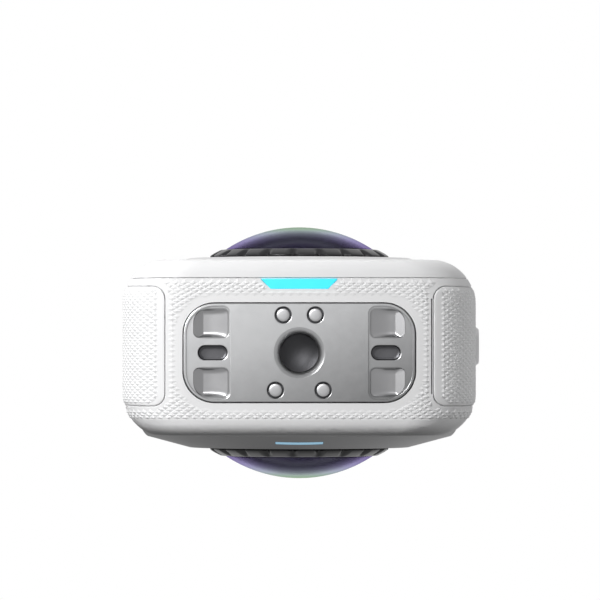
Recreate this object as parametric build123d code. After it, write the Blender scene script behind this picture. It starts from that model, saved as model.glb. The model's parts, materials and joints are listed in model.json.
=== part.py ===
from build123d import *
import math
import os

# Pocket 360 degree camera with two opposed lenses, standing on its tripod plate. Millimetres.
# +X is the right side, -Y the front, +Y the back with the touchscreen, +Z up. The origin is the
# centre of the tripod thread's mouth, in the outer face of the plate.

os.makedirs("parts", exist_ok=True)

# Body
body_width = 45.8
head_height = 22.8
plate_proud = 0.15
front_depth = 12.05
back_depth = 10.75
side_radius = 5.7
front_arc_depth = 6.4
back_arc_depth = 5.3
parting_depth = 9.7
seam_depth = 0.2
seam_width = 0.18
rim_depth = 8.65
base_corner = 8.0
top_corner = 13.0
top_round_share = 0.75
corner_shrink_share = 0.35
face_wall = 1.4
side_wall = 2.5
base_wall = 3.0
cover_rim_wall = 0.9
gap = 0.15
slip = 0.05
press_gap = 0.02
cut_over = 30.0
peg_sides = 12

# Raised cone round each lens
lens_above_speaker = 20.5
boss_proud = 1.9
boss_radius = 16.25
boss_slope_deg = 15.0
boss_round = 3.6
head_inset = 0.05
chamber_radius = 15.0

# Lens guard and its bayonet seat
guard_hole_radius = 12.6
seat_wall = 0.9
seat_flange_radius = 14.6
seat_flange = 2.2
seat_lip_drop = 0.5
tab_count = 3
tab_half_deg = 30.0
tab_reach = 0.55
tab_height = 0.6
lug_half_deg = 20.0
lug_height = 0.8
ring_radius = 13.25
ring_top_radius = 11.4
ring_rise = 1.2
ring_lip = 0.35
skirt_wall = 1.0
skirt_length = 2.25
lobe_count = 20
lobe_share = 0.62
dip_start_share = 0.72
dip_end_share = 0.90
lobe_dip = 0.28
dome_rise = 3.36
dome_wall = 1.2
dome_band = 0.9
seal_width = 0.6

# Lens block behind the guard
fisheye_radius = 8.2
fisheye_sphere = 10.5
fisheye_gap = 0.96
fisheye_band = 0.6
barrel_radius = 9.3
barrel_flange = 4.4
barrel_neck_radius = 7.4
barrel_foot_depth = 3.5
sensor_board = 15.0
sensor_board_depth = 1.3
sensor_board_thick = 0.8
sensor_chip = 10.0
frame_half_thick = 1.0
frame_below_lens = 11.0

# Tripod plate
plate_margin = 2.4
plate_width = 12.7
plate_corner = 4.0
plate_thick = 2.0
plate_rim = 0.35
land_step = 0.4
land_reach = 6.0
land_corner = 1.0
pocket_inset = 0.15
pocket_length = 4.65
pocket_ramp = 1.25
pocket_inner = 2.05
pocket_outer = 5.6
pocket_depth = 1.1
slot_inset = 0.2
slot_length = 4.0
slot_width = 1.9
boss_outer_radius = 5.5
boss_top = 7.0
thread_radius = 2.5
thread_mouth_radius = 3.225
thread_depth = 5.5
magnet_radius = 0.935
magnet_groove = 0.165
magnet_thick = 0.8
magnet_places = ((-2.07, -4.85), (2.07, -4.85), (-3.07, 4.82), (3.07, 4.82))

# Status lights
light_wide = 9.8
light_narrow = 7.4
light_length = 1.1
light_to_parting = 0.3
light_thick = 1.4
rear_light_width = 6.8
rear_light_height = 1.2
rear_light_drop = 19.5
rear_light_thick = 2.2

# Touchscreen
screen_margin = 4.7
screen_height = 49.0
screen_corner = 4.0
screen_low = 13.3
glass_thick = 0.9
screen_ledge = 0.8
panel_thick = 1.5

# Side doors, common
door_front = 8.55
door_back = 6.9
door_wrap = 5.6
door_corner = 1.6
door_thick = 1.5
door_shadow = 0.2

# Battery on the left side
cover_above_bay = 10.5
bay_front = 7.4
bay_back = 5.4
bay_low = 9.0
bay_height = 40.5
tray_wall = 0.7
tray_gap = 0.35
pack_clear = 0.3
pack_end_gap = 1.0
contact_width = 8.0
contact_height = 3.0
contact_thick = 0.9
contact_low = 14.0
gasket = 0.5
gasket_out = 0.35

# Battery latch
bat_latch_travel = 2.2
bat_latch_width = 5.3
bat_cap_above_bay = 0.5
bat_cap_length = 7.4
bat_latch_proud = 0.65
bat_latch_sink = 0.5
bat_neck_rise = 2.5
bat_neck_length = 2.0
bat_neck_width = 2.0
bat_tongue_rise = 2.0
bat_tongue_below_top = 0.4
bat_tongue_width = 4.4
tongue_thick = 0.6

# Port door on the right side
hinge_above = 10.7
knuckle_radius = 2.0
pin_radius = 0.6
pin_bite = 0.6
hinge_pad = 0.85
hinge_pad_end = 0.75
hinge_over = 0.1
port_centre_height = 25.3
port_bay_front = 6.6
port_bay_back = 3.2
port_bay_height = 12.6
port_bay_depth = 2.9
port_bay_wall = 0.9
port_bay_corner = 1.5
usb_width = 3.26
usb_height = 8.94
usb_length = 7.35
usb_wall = 0.3
usb_front = 5.03
usb_tongue_width = 0.7
usb_tongue_height = 6.7
usb_tongue_short = 0.6
port_board_thick = 0.6
port_board_height = 20.0
port_board_drop = 13.3
card_thick = 0.8
card_height = 11.0
card_length = 15.0
card_out = 0.6
card_push = 0.6
reader_wall_y = 0.75
reader_wall_z = 0.4

# Port latch
latch_travel = 2.5
latch_front = 3.5
latch_back = 1.8
latch_cap_drop = 5.6
latch_cap_length = 8.7
latch_proud = 0.65
latch_neck_drop = 10.3
latch_neck_length = 2.0
latch_neck_width = 1.9
latch_foot_drop = 2.4
latch_foot_width = 2.7
latch_foot_thick = 0.65
rib_count = 4
rib_pitch = 1.1
rib_height = 0.2
rib_width = 0.45

# Buttons
press_travel = 0.4
button_proud = 0.1
button_flange = 0.5
button_flange_thick = 0.6
button_stem = 0.7
button_stem_half = 1.0
switch_gap = 0.05
switch_height = 0.35
switch_half = 1.3
button_board_thick = 0.6
side_button_height = 8.6
side_button_width = 3.0
power_button_above_hinge = 14.0
side_button_pitch = 12.0
side_board_margin = 6.0
side_board_front = 3.5
rear_button_width = 9.5
rear_button_height = 4.4
rear_button_z = 7.6
rear_button_places = {"shutter_button": -8.6, "lens_switch_button": 8.6}
rear_board_inset = 5.4
rear_board_low = 3.4
rear_board_high = 10.6

# Electronics
board_front = 6.2
board_thick = 0.8
board_inset = 2.7
board_low = 10.65
board_above_speaker = 4.5
shield_thick = 3.0
shield_above_bay = 3.5
shield_below_board = 2.0
shield_board_edge = 3.7
shield_speaker_gap = 2.4
spreader_margin = 1.0
spreader_overlap = 2.0
speaker_width = 8.0
speaker_front = 6.5
speaker_back = 2.5
speaker_above_board = 2.5
speaker_height = 7.5
speaker_slot_count = 3
speaker_slot_pitch = 2.0
speaker_slot = 0.8
speaker_slot_length = 5.0
mic_hole = 0.8
mic_length = 2.8
mic_width = 1.9
mic_thick = 1.0
mic_rise = 1.5
mic_top_y = 4.0

# Screws and posts inside
post_half = 1.8
post_inset = 2.9
post_below_lens = 8.0
post_above_lens = 13.0
screw_radius = 0.6
screw_head_radius = 1.2
screw_head = 0.8
screw_bite = 5.0
board_post_half = 1.2
board_post_inset = 4.0
board_post_rise = 1.95
board_post_drop = 4.5

# Derived
half_width = body_width / 2
body_low = plate_proud
bay_high = bay_low + bay_height
cover_top = bay_high + cover_above_bay
bat_latch_cap_low = bay_high + bat_cap_above_bay
bat_latch_cap_high = bat_latch_cap_low + bat_cap_length
bat_neck_low = bat_latch_cap_low + bat_neck_rise
bat_neck_high = bat_neck_low + bat_neck_length
bat_tongue_low = bat_latch_cap_low + bat_tongue_rise
bat_tongue_high = cover_top - bat_tongue_below_top
hinge_height = port_centre_height + hinge_above
power_height = hinge_height + power_button_above_hinge
side_button_places = {"power_button": power_height, "quick_button": power_height + side_button_pitch}
side_board_low = power_height - side_board_margin
side_board_high = power_height + side_button_pitch + side_board_margin
speaker_low = side_board_high + speaker_above_board
speaker_high = speaker_low + speaker_height
mic_height = speaker_low + mic_rise
lens_height = speaker_low + lens_above_speaker
body_top = lens_height + head_height
frame_low = lens_height - frame_below_lens
board_high = speaker_low + board_above_speaker
shield_low = bay_high + shield_above_bay
shield_high = board_high - shield_below_board
base_round = front_depth - parting_depth
rim_round = back_depth - rim_depth
cavity_half = half_width - side_wall
cavity_low = body_low + base_wall
cavity_high = body_top - side_wall
cavity_back = back_depth - face_wall
boss_depth = front_depth + boss_proud
chamber_depth = boss_depth - face_wall
seat_lip_depth = boss_depth - seat_lip_drop
skirt_depth = boss_depth - skirt_length
ring_top_depth = boss_depth + slip + ring_rise
dome_apex_depth = ring_top_depth + dome_rise
fisheye_apex_depth = dome_apex_depth - dome_wall - fisheye_gap
lens_axis = Axis((0, 0, lens_height), (0, 1, 0))
door_face = half_width - door_thick
door_seat = door_face - gap
door_inner = half_width - door_wrap
plate_length = (door_inner - plate_margin) * 2
land_from = plate_length / 2 - land_reach
pocket_from = land_from + pocket_inset
slot_from = land_from + slot_inset
screen_width = body_width - screen_margin * 2
latch_cap_high = port_centre_height - latch_cap_drop
latch_cap_low = latch_cap_high - latch_cap_length
latch_neck_low = port_centre_height - latch_neck_drop
latch_neck_high = latch_neck_low + latch_neck_length
latch_foot_low = latch_neck_low - latch_foot_drop
port_board_low = port_centre_height - port_board_drop
rear_board_half = cavity_half - rear_board_inset
board_half = cavity_half - board_inset
speaker_from = cavity_half - speaker_width
shield_left = board_half - shield_board_edge
shield_right = speaker_from - shield_speaker_gap
post_x = cavity_half - post_inset
post_places = [(-post_x, lens_height - post_below_lens), (post_x, lens_height + post_above_lens)]
board_post_x = cavity_half - board_post_inset
board_post_low = board_low + board_post_rise
board_post_high = board_high - board_post_drop
board_post_places = [(board_post_x, board_post_low), (board_post_x, board_post_high), (-board_post_x, board_post_high)]
port_floor = door_seat - port_bay_depth
card_x = (port_floor + card_out - card_length, port_floor + card_out)
reader_x = (card_x[0] - card_push - gap * 2, port_floor - port_bay_wall - slip)
tray_end = reader_x[0] - tray_gap - tray_wall


def box(x, y, z):
    """A box between pairs of coordinates."""
    size = [high - low for low, high in (x, y, z)]
    middle = [(high + low) / 2 for low, high in (x, y, z)]
    return Pos(*middle) * Box(*size)


def rod(axis_dir, centre, radius, start, end):
    """A cylinder along X, Y or Z through the two cross coordinates in centre."""
    a, b = centre
    origin = {"X": (start, a, b), "Y": (a, start, b), "Z": (a, b, start)}[axis_dir]
    across = {"X": (0, 1, 0), "Y": (1, 0, 0), "Z": (1, 0, 0)}[axis_dir]
    along = {"X": (1, 0, 0), "Y": (0, 1, 0), "Z": (0, 0, 1)}[axis_dir]
    plane = Plane(origin=origin, x_dir=across, z_dir=along)
    return extrude(plane * Circle(radius), end - start)


def peg(axis_dir, centre, radius, start, end):
    """A twelve-sided rod, for the smallest discs, screws and pin seats, on its inscribed radius."""
    a, b = centre
    origin = {"X": (start, a, b), "Y": (a, start, b), "Z": (a, b, start)}[axis_dir]
    across = {"X": (0, 1, 0), "Y": (1, 0, 0), "Z": (1, 0, 0)}[axis_dir]
    along = {"X": (1, 0, 0), "Y": (0, 1, 0), "Z": (0, 0, 1)}[axis_dir]
    plane = Plane(origin=origin, x_dir=across, z_dir=along)
    return extrude(plane * RegularPolygon(radius, peg_sides, major_radius=False), end - start)


def pad(axis_dir, a, b, radius, start, end):
    """A rounded rectangle, between the pairs a and b, extruded along X, Y or Z."""
    middle = ((a[0] + a[1]) / 2, (b[0] + b[1]) / 2)
    size = (a[1] - a[0], b[1] - b[0])
    # along X the pairs are y and z, along Y they are x and z, along Z they are x and y
    if axis_dir == "X":
        plane = Plane(origin=(start, *middle), x_dir=(0, 1, 0), z_dir=(1, 0, 0))
    elif axis_dir == "Y":
        plane = Plane(origin=(middle[0], start, middle[1]), x_dir=(1, 0, 0), z_dir=(0, 1, 0))
    else:
        plane = Plane(origin=(*middle, start), x_dir=(1, 0, 0), z_dir=(0, 0, 1))
    return extrude(plane * RectangleRounded(*size, radius), end - start)


def brick(axis_dir, a, b, start, end):
    """A plain block between the pairs a and b, from start to end along X or Y."""
    return box((start, end), a, b) if axis_dir == "X" else box(a, (start, end), b)


def turned(side, edges):
    """Revolve a closed profile drawn in radius and depth round the lens axis, front or rear."""
    plane = Plane(origin=(0, 0, lens_height), x_dir=(1, 0, 0), z_dir=(0, 0, side))
    return revolve(plane * make_face(edges), lens_axis, 360)


def ring_profile(points):
    return Polyline(*points, close=True).edges()


def sector(side, inner, outer, low, high, middle_deg, half_deg):
    """Part of a flat ring round the lens axis between two depths."""
    ring = turned(side, ring_profile([(inner, low), (outer, low), (outer, high), (inner, high)]))
    reach = outer / math.cos(math.radians(half_deg)) + gap
    corners = [(0, 0)]
    for turn in (middle_deg - half_deg, middle_deg + half_deg):
        angle = math.radians(turn)
        corners.append((reach * math.cos(angle), reach * math.sin(angle)))
    plane = Plane(origin=(0, side * low, lens_height), x_dir=(1, 0, 0), z_dir=(0, side, 0))
    wedge = extrude(plane * make_face(Polyline(*corners, close=True).edges()), high - low)
    return ring & wedge


def around(count):
    return [360 * i / count for i in range(count)]


def bent(over, radius):
    """How far a quarter arc has turned inwards once a point is this far past its start."""
    if over <= 0:
        return 0
    return radius - math.sqrt(max(radius**2 - over**2, 0))


def outline(y, half, low, high, low_radius, high_radius):
    """The camera's front outline at one depth: four straight sides and four arcs."""

    def corner(cx, cz, radius, start_deg):
        turns = [math.radians(start_deg + part) for part in (0, 45, 90)]
        points = [(cx + radius * math.cos(t), y, cz + radius * math.sin(t)) for t in turns]
        return Edge.make_three_point_arc(*points)

    left, right = -half + low_radius, half - low_radius
    top_left, top_right = -half + high_radius, half - high_radius
    bottom, top = low + low_radius, high - high_radius
    return Wire(
        [
            Edge.make_line((left, y, low), (right, y, low)),
            corner(right, bottom, low_radius, -90),
            Edge.make_line((half, y, bottom), (half, y, top)),
            corner(top_right, top, high_radius, 0),
            Edge.make_line((top_right, y, high), (top_left, y, high)),
            corner(top_left, top, high_radius, 90),
            Edge.make_line((-half, y, top), (-half, y, bottom)),
            corner(left, bottom, low_radius, 180),
        ]
    )


def body_section(y, inset=0, at=None):
    """The outline at a depth, drawn in by the rounding of the sides, top and base."""
    if y < 0:
        side = bent(-y - front_arc_depth, side_radius)
        base = bent(-y - parting_depth, base_round)
    else:
        side = bent(y - back_arc_depth, side_radius)
        base = bent(y - rim_depth, rim_round)
    shrink = corner_shrink_share * (side + base)
    top = body_top - top_round_share * side
    return outline(y if at is None else at, half_width - side - inset, body_low + base + inset, top - inset,
                   base_corner - shrink - inset, top_corner - shrink - inset)


def rounded_zone(start, end, step_count, eased):
    """One smooth loft between two depths. Eased steps gather where the arc turns fastest."""
    shares = [i / step_count for i in range(step_count + 1)]
    if eased:
        shares = [math.sin(share * math.pi / 2) for share in shares]
    return Solid.make_loft([body_section(start + (end - start) * share) for share in shares])


def slab(wire, start, end):
    """Extrude an outline, drawn at depth zero, from one depth to another."""
    return Pos(0, start, 0) * Solid.extrude(Face(wire), Vector(0, end - start, 0))


def inner_outline(inset):
    corners = (base_corner - inset, top_corner - inset)
    return outline(0, half_width - inset, body_low + inset, body_top - inset, *corners)


def lens_head(side):
    """The raised cone round a lens, clipped by the body's outline with its rounded edge."""
    block = Solid.extrude(Face(inner_outline(head_inset)), Vector(0, side * boss_depth, 0))
    far = [e for e in block.edges() if abs(e.center().Y - side * boss_depth) < press_gap]
    block = block.fillet(boss_round, far)
    foot = boss_radius + boss_depth / math.tan(math.radians(boss_slope_deg))
    plane = Plane(origin=(0, 0, lens_height), x_dir=(1, 0, 0), z_dir=(0, side, 0))
    return block & Solid.make_cone(foot, boss_radius, boss_depth, plane)


# Whole outer body, still in one piece
rounded_step_count = 5
gentle_step_count = 3
body = Part() + slab(body_section(0), -front_arc_depth, back_arc_depth)
body += rounded_zone(-front_arc_depth, -parting_depth, gentle_step_count, False)
body += rounded_zone(back_arc_depth, rim_depth, gentle_step_count, False)
body += rounded_zone(rim_depth, back_depth, rounded_step_count, True)
body += rounded_zone(-parting_depth, -front_depth, rounded_step_count, True)
body = body + lens_head(-1) + lens_head(1)
everywhere = (-cut_over - body_width, cut_over + body_width)
tall = (-cut_over, cut_over + body_top)
ahead = box(everywhere, (-parting_depth - cut_over, -parting_depth), tall)

cavity_outline = outline(
    0, cavity_half, cavity_low, cavity_high, base_corner - side_wall, top_corner - side_wall
)


def side_door(side, top, grow):
    """Region of a side door: in from the bottom edge, round the corner and up to its top."""
    panel = pad("X", (-door_front - grow, door_back + grow), (-cut_over, top + grow), door_corner + grow,
                0, cut_over + half_width)
    wrap = pad("Z", (door_inner - grow, door_inner + cut_over), (-door_front - grow, door_back + grow),
               door_corner + grow, -cut_over, top + grow)
    core = slab(inner_outline(door_thick + grow), -front_depth, back_depth)
    region = (panel & wrap) - core
    return region if side > 0 else mirror(region, Plane.YZ)


def in_body(shape):
    return shape & body


# Lens set

def lobed_cone(side, flange_depth):
    """The lens ring's outer form: a low cone whose edge is a ring of broad lobes with narrow dips."""

    def edge(radius, depth):
        points = []
        for turn in around(lobe_count):
            for share, drop in ((0, 0), (lobe_share, 0), (dip_start_share, lobe_dip), (dip_end_share, lobe_dip)):
                angle = math.radians(turn + 360 / lobe_count * share)
                reach = radius - drop
                points.append((reach * math.cos(angle), side * depth, lens_height + reach * math.sin(angle)))
        return Wire.make_polygon([Vector(*point) for point in points])

    return Solid.make_loft([edge(ring_radius, flange_depth), edge(ring_top_radius, ring_top_depth)], ruled=True)


def lens_parts(side, name):
    """The guard, its seat and the lens block behind it, for the front (-1) or the rear (+1)."""
    parts = {}
    seat_bore = guard_hole_radius - slip * 2 - seat_wall
    seat_floor_depth = chamber_depth - slip - seat_flange
    seat_outer = guard_hole_radius - slip * 2
    seat = turned(side, ring_profile([
        (seat_bore, seat_floor_depth), (seat_flange_radius, seat_floor_depth),
        (seat_flange_radius, chamber_depth - slip), (seat_outer, chamber_depth - slip),
        (seat_outer, seat_lip_depth), (seat_bore, seat_lip_depth),
    ]))
    tab_top = seat_lip_depth - slip * 2
    for middle in around(tab_count):
        seat += sector(side, seat_bore - tab_reach, seat_bore + slip, tab_top - tab_height, tab_top,
                       middle + 180 / tab_count, tab_half_deg)
    parts["lens_seat"] = seat

    skirt_outer = seat_bore - tab_reach - gap
    skirt_inner = skirt_outer - skirt_wall
    flange_depth = boss_depth + slip
    dome_radius = ring_top_radius - ring_lip - slip
    dome_foot = ring_top_depth - dome_band
    ring = lobed_cone(side, flange_depth)
    ring -= turned(side, ring_profile([
        (0, flange_depth - slip), (dome_radius + slip, flange_depth - slip),
        (dome_radius + slip, ring_top_depth + slip), (0, ring_top_depth + slip),
    ]))
    ring += turned(side, ring_profile([
        (skirt_inner, skirt_depth), (skirt_outer, skirt_depth), (skirt_outer, flange_depth),
        (dome_radius + gap, flange_depth), (dome_radius + gap, dome_foot - slip),
        (skirt_inner, dome_foot - slip),
    ]))
    lug_low = skirt_depth + slip * 2
    for middle_deg in around(tab_count):
        ring += sector(side, skirt_outer - slip, seat_bore - slip * 2, lug_low, lug_low + lug_height,
                       middle_deg, lug_half_deg)
    parts["lens_ring"] = ring

    rise = dome_apex_depth - ring_top_depth
    sphere = (dome_radius**2 + rise**2) / (2 * rise)
    sphere_centre = dome_apex_depth - sphere
    inner_sphere = sphere - dome_wall
    inner_rim = math.sqrt(inner_sphere**2 - (dome_foot - sphere_centre) ** 2)

    def on_sphere(radius, angle, centre):
        return (radius * math.sin(angle), centre + radius * math.cos(angle))

    outer_turn = math.asin(dome_radius / sphere)
    inner_turn = math.asin(inner_rim / inner_sphere)
    dome = [
        ThreePointArc((0, dome_apex_depth), on_sphere(sphere, outer_turn / 2, sphere_centre),
                      (dome_radius, ring_top_depth)),
        Line((dome_radius, ring_top_depth), (dome_radius, dome_foot)),
        Line((dome_radius, dome_foot), (inner_rim, dome_foot)),
        ThreePointArc((inner_rim, dome_foot), on_sphere(inner_sphere, inner_turn / 2, sphere_centre),
                      (0, dome_apex_depth - dome_wall)),
        Line((0, dome_apex_depth - dome_wall), (0, dome_apex_depth)),
    ]
    parts["lens_dome"] = turned(side, dome)

    seal_middle = (seat_bore + seat_outer) / 2
    seal_edges = (seal_middle - seal_width / 2, seal_middle + seal_width / 2)
    seal_low = seat_lip_depth + slip
    parts["lens_seal"] = turned(side, ring_profile([
        (seal_edges[0], seal_low), (seal_edges[1], seal_low),
        (seal_edges[1], boss_depth), (seal_edges[0], boss_depth),
    ]))

    turn = math.asin(fisheye_radius / fisheye_sphere)
    eye_centre = fisheye_apex_depth - fisheye_sphere
    eye_rim = eye_centre + fisheye_sphere * math.cos(turn)
    eye_foot = eye_rim - fisheye_band
    eye = [
        ThreePointArc((0, fisheye_apex_depth), on_sphere(fisheye_sphere, turn / 2, eye_centre),
                      (fisheye_radius, eye_rim)),
        Line((fisheye_radius, eye_rim), (fisheye_radius, eye_foot)),
        Line((fisheye_radius, eye_foot), (0, eye_foot)),
        Line((0, eye_foot), (0, fisheye_apex_depth)),
    ]
    parts["fisheye_element"] = turned(side, eye)

    shoulder = eye_rim - barrel_flange
    parts["lens_barrel"] = turned(side, ring_profile([
        (0, barrel_foot_depth), (barrel_neck_radius, barrel_foot_depth), (barrel_neck_radius, shoulder),
        (barrel_radius, shoulder), (barrel_radius, eye_foot - slip), (0, eye_foot - slip),
    ]))

    half = sensor_board / 2
    chip = sensor_chip / 2
    board_top = sensor_board_depth + sensor_board_thick
    board_y = sorted((side * sensor_board_depth, side * board_top))
    chip_y = sorted((side * board_top, side * (barrel_foot_depth - slip)))
    sensor = box((-half, half), board_y, (lens_height - half, lens_height + half))
    sensor += box((-chip, chip), chip_y, (lens_height - chip, lens_height + chip))
    parts["image_sensor"] = sensor
    return {f"{name}_{key}": value for key, value in parts.items()}


# Mount plate

def plate_outline(shrink):
    return RectangleRounded(plate_length - shrink * 2, plate_width - shrink * 2, plate_corner - shrink)


def mount_plate():
    plate = extrude(plate_outline(0), plate_thick)
    plate += rod("Z", (0, 0), boss_outer_radius, 0, boss_top)
    rim = extrude(plate_outline(plate_rim), land_step)
    for side in (-1, 1):
        ends = sorted((side * land_from, side * plate_length))
        land = pad("Z", ends, (-plate_width, plate_width), land_corner, 0, land_step)
        plate -= land & rim
        reach = pocket_from + pocket_length
        for half in (-1, 1):
            across = sorted((half * pocket_inner, half * pocket_outer))
            along = sorted((side * pocket_from, side * reach))
            pocket = box(along, across, (0, land_step + pocket_depth))
            # the outer wall of each pocket is a ramp that rises to the land
            ramp = Polyline(
                (side * reach, 0, land_step), (side * reach, 0, land_step + pocket_depth),
                (side * (reach - pocket_ramp), 0, land_step + pocket_depth), close=True
            )
            ramp = extrude(make_face(ramp.edges()), plate_width, both=True)
            plate -= pocket - ramp
        along = sorted((side * slot_from, side * (slot_from + slot_length)))
        round_end = slot_width / 2 - press_gap
        plate -= pad("Z", along, (-slot_width / 2, slot_width / 2), round_end, 0, land_step + pocket_depth)
    plate -= rod("Z", (0, 0), thread_radius, 0, thread_depth)
    mouth = Solid.make_cone(thread_mouth_radius, thread_radius, thread_mouth_radius - thread_radius)
    plate -= mouth
    for x, y in magnet_places:
        plate -= peg("Z", (x, y), magnet_radius + magnet_groove, 0, magnet_thick)
    return plate


def screw(axis_dir, centre, radius, head_radius, tip, seat, head):
    """A shank from its tip to the seat under its head, and the head beyond."""
    low, high = sorted((tip, seat))
    top = sorted((seat, seat + head * (1 if seat > tip else -1)))
    return peg(axis_dir, centre, radius, low, high) + peg(axis_dir, centre, head_radius, *top)


magnets = [peg("Z", place, magnet_radius, 0, magnet_thick - slip) for place in magnet_places]


# Status lights

def front_light(grow, top):
    near = -parting_depth + light_to_parting
    far = near + light_length
    corners = [(-light_wide / 2, near), (light_wide / 2, near), (light_narrow / 2, far), (-light_narrow / 2, far)]
    face = make_face(Polyline(*corners, close=True).edges())
    if grow:
        face = offset(face, grow, kind=Kind.INTERSECTION)
    return extrude(Plane(origin=(0, 0, 0)) * face, top)


def rear_light(grow):
    middle = lens_height - rear_light_drop
    surface = boss_depth - (rear_light_drop - boss_radius) * math.tan(math.radians(boss_slope_deg))
    along = (-rear_light_width / 2 - grow, rear_light_width / 2 + grow)
    up = (middle - rear_light_height / 2 - grow, middle + rear_light_height / 2 + grow)
    return box(along, (surface - rear_light_thick - grow, boss_depth), up)


# Screen
screen_high = screen_low + screen_height
glass_back = back_depth - glass_thick
glass_x = (-screen_width / 2, screen_width / 2)
glass_z = (screen_low, screen_high)
screen_glass = pad("Y", glass_x, glass_z, screen_corner, glass_back, back_depth)


def framed(pair, inset):
    return (pair[0] + inset, pair[1] - inset)


panel_inset = screen_ledge + screen_corner * (1 - math.sqrt(1 / 2))
screen_panel = box(framed(glass_x, panel_inset), (glass_back - slip - panel_thick, glass_back - slip),
                   framed(glass_z, panel_inset))

# Buttons

def button(axis_dir, a, b, face, travel_side, wall_in):
    """A pill cap with a retaining flange behind the wall and a stem towards its switch."""
    radius = (min(a[1] - a[0], b[1] - b[0])) / 2 - press_gap
    cap = sorted((face + travel_side * button_proud, wall_in - travel_side * slip))
    cap_body = pad(axis_dir, a, b, radius, *cap)
    flange_from = wall_in - travel_side * slip
    flange_to = flange_from - travel_side * button_flange_thick
    wide_a, wide_b = framed(a, -button_flange), framed(b, -button_flange)
    flange = brick(axis_dir, wide_a, wide_b, *sorted((flange_from, flange_to)))
    middle_a, middle_b = (a[0] + a[1]) / 2, (b[0] + b[1]) / 2
    stem_a = (middle_a - button_stem_half, middle_a + button_stem_half)
    stem_b = (middle_b - button_stem_half, middle_b + button_stem_half)
    stem_to = flange_to - travel_side * button_stem
    stem = brick(axis_dir, stem_a, stem_b, *sorted((flange_to, stem_to)))
    return cap_body + flange + stem


side_stem_end = cavity_half - slip - button_flange_thick - button_stem
rear_stem_end = cavity_back - slip - button_flange_thick - button_stem
side_middle_y = (door_back - door_front) / 2


def side_button_pairs(height, grow):
    y = (side_middle_y - side_button_width / 2 - grow, side_middle_y + side_button_width / 2 + grow)
    return y, (height - side_button_height / 2 - grow, height + side_button_height / 2 + grow)


def rear_button_pairs(x, grow):
    pair_x = (x - rear_button_width / 2 - grow, x + rear_button_width / 2 + grow)
    return pair_x, (rear_button_z - rear_button_height / 2 - grow, rear_button_z + rear_button_height / 2 + grow)


buttons = {}
for name, height in side_button_places.items():
    buttons[name] = button("X", *side_button_pairs(height, 0), half_width, 1, cavity_half)
for name, x in rear_button_places.items():
    buttons[name] = button("Y", *rear_button_pairs(x, 0), back_depth, 1, cavity_back)

side_switch_top = side_stem_end - press_travel - switch_gap
side_board_back = side_switch_top - switch_height
side_button_board = box((side_board_back - button_board_thick, side_board_back),
                        (-side_board_front, board_front - slip), (side_board_low, side_board_high))
for height in side_button_places.values():
    side_button_board += box((side_board_back, side_switch_top),
                             (side_middle_y - switch_half, side_middle_y + switch_half),
                             (height - switch_half, height + switch_half))
rear_switch_top = rear_stem_end - press_travel - switch_gap
rear_board_back = rear_switch_top - switch_height
rear_button_board = box((-rear_board_half, rear_board_half), (rear_board_back - button_board_thick, rear_board_back),
                        (rear_board_low, rear_board_high))
for x in rear_button_places.values():
    rear_button_board += box((x - switch_half, x + switch_half), (rear_board_back, rear_switch_top),
                             (rear_button_z - switch_half, rear_button_z + switch_half))

# Battery and its door
bay_y = (-bay_front, bay_back)
bay_z = (bay_low, bay_high)
tray_wall_x = -cavity_half + slip
battery_tray = box((tray_wall_x, tray_end + tray_wall), framed(bay_y, -tray_wall), framed(bay_z, -tray_wall))
battery_tray -= box((-cut_over, tray_end), bay_y, bay_z)
pack_end = tray_end - pack_end_gap
battery_pack = box((-door_face + slip, pack_end), framed(bay_y, pack_clear), framed(bay_z, pack_clear))
contact_y = (side_middle_y - contact_width / 2, side_middle_y + contact_width / 2)
battery_contacts = box((tray_end - contact_thick, tray_end), contact_y,
                       (contact_low, contact_low + contact_height))

battery_cover = in_body(side_door(-1, cover_top, 0))
gasket_y = framed(bay_y, -gasket_out)
gasket_z = framed(bay_z, -gasket_out)


def gasket_frame(a, b, grow, start, end):
    """A rectangular rubber gasket, lying in a groove of a side door."""
    outer = box((start, end), framed(a, -gasket - grow), framed(b, -gasket - grow))
    return outer - box((start, end), framed(a, grow), framed(b, grow))


battery_cover -= gasket_frame(gasket_y, gasket_z, slip, -door_face - gasket, -door_face)
battery_seal = gasket_frame(gasket_y, gasket_z, 0, -door_face - gasket + slip, -door_seat - slip)

neck_y = (side_middle_y - bat_neck_width / 2, side_middle_y + bat_neck_width / 2)
tongue_y = (side_middle_y - bat_tongue_width / 2, side_middle_y + bat_tongue_width / 2)
cap_y = (side_middle_y - bat_latch_width / 2, side_middle_y + bat_latch_width / 2)
tongue_x = (-door_face + slip, -door_face + slip + tongue_thick)
cap_x = (-half_width - bat_latch_proud, -half_width + bat_latch_sink)
cap_z = (bat_latch_cap_low, bat_latch_cap_high)
cap_round = bat_latch_width / 2 - press_gap
battery_latch = pad("X", cap_y, cap_z, cap_round, *cap_x)
battery_latch += box((cap_x[1], tongue_x[0]), neck_y, (bat_neck_low, bat_neck_high))
battery_latch += box(tongue_x, tongue_y, (bat_tongue_low, bat_tongue_high))
cap_middle = (bat_latch_cap_low + bat_latch_cap_high) / 2
for i in range(rib_count):
    low = cap_middle + (i - rib_count / 2) * rib_pitch
    battery_latch -= box((cap_x[0], cap_x[0] + rib_height), framed(cap_y, gap), (low, low + rib_width))
cap_well = pad("X", framed(cap_y, -gap), (cap_z[0] - gap, cap_z[1] + bat_latch_travel + gap), cap_round + gap,
               cap_x[0], cap_x[1] + gap)
battery_cover -= cap_well
battery_cover -= box((-half_width, -door_seat), framed(neck_y, -gap),
                     (bat_neck_low - gap, bat_neck_high + bat_latch_travel + gap))

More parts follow.
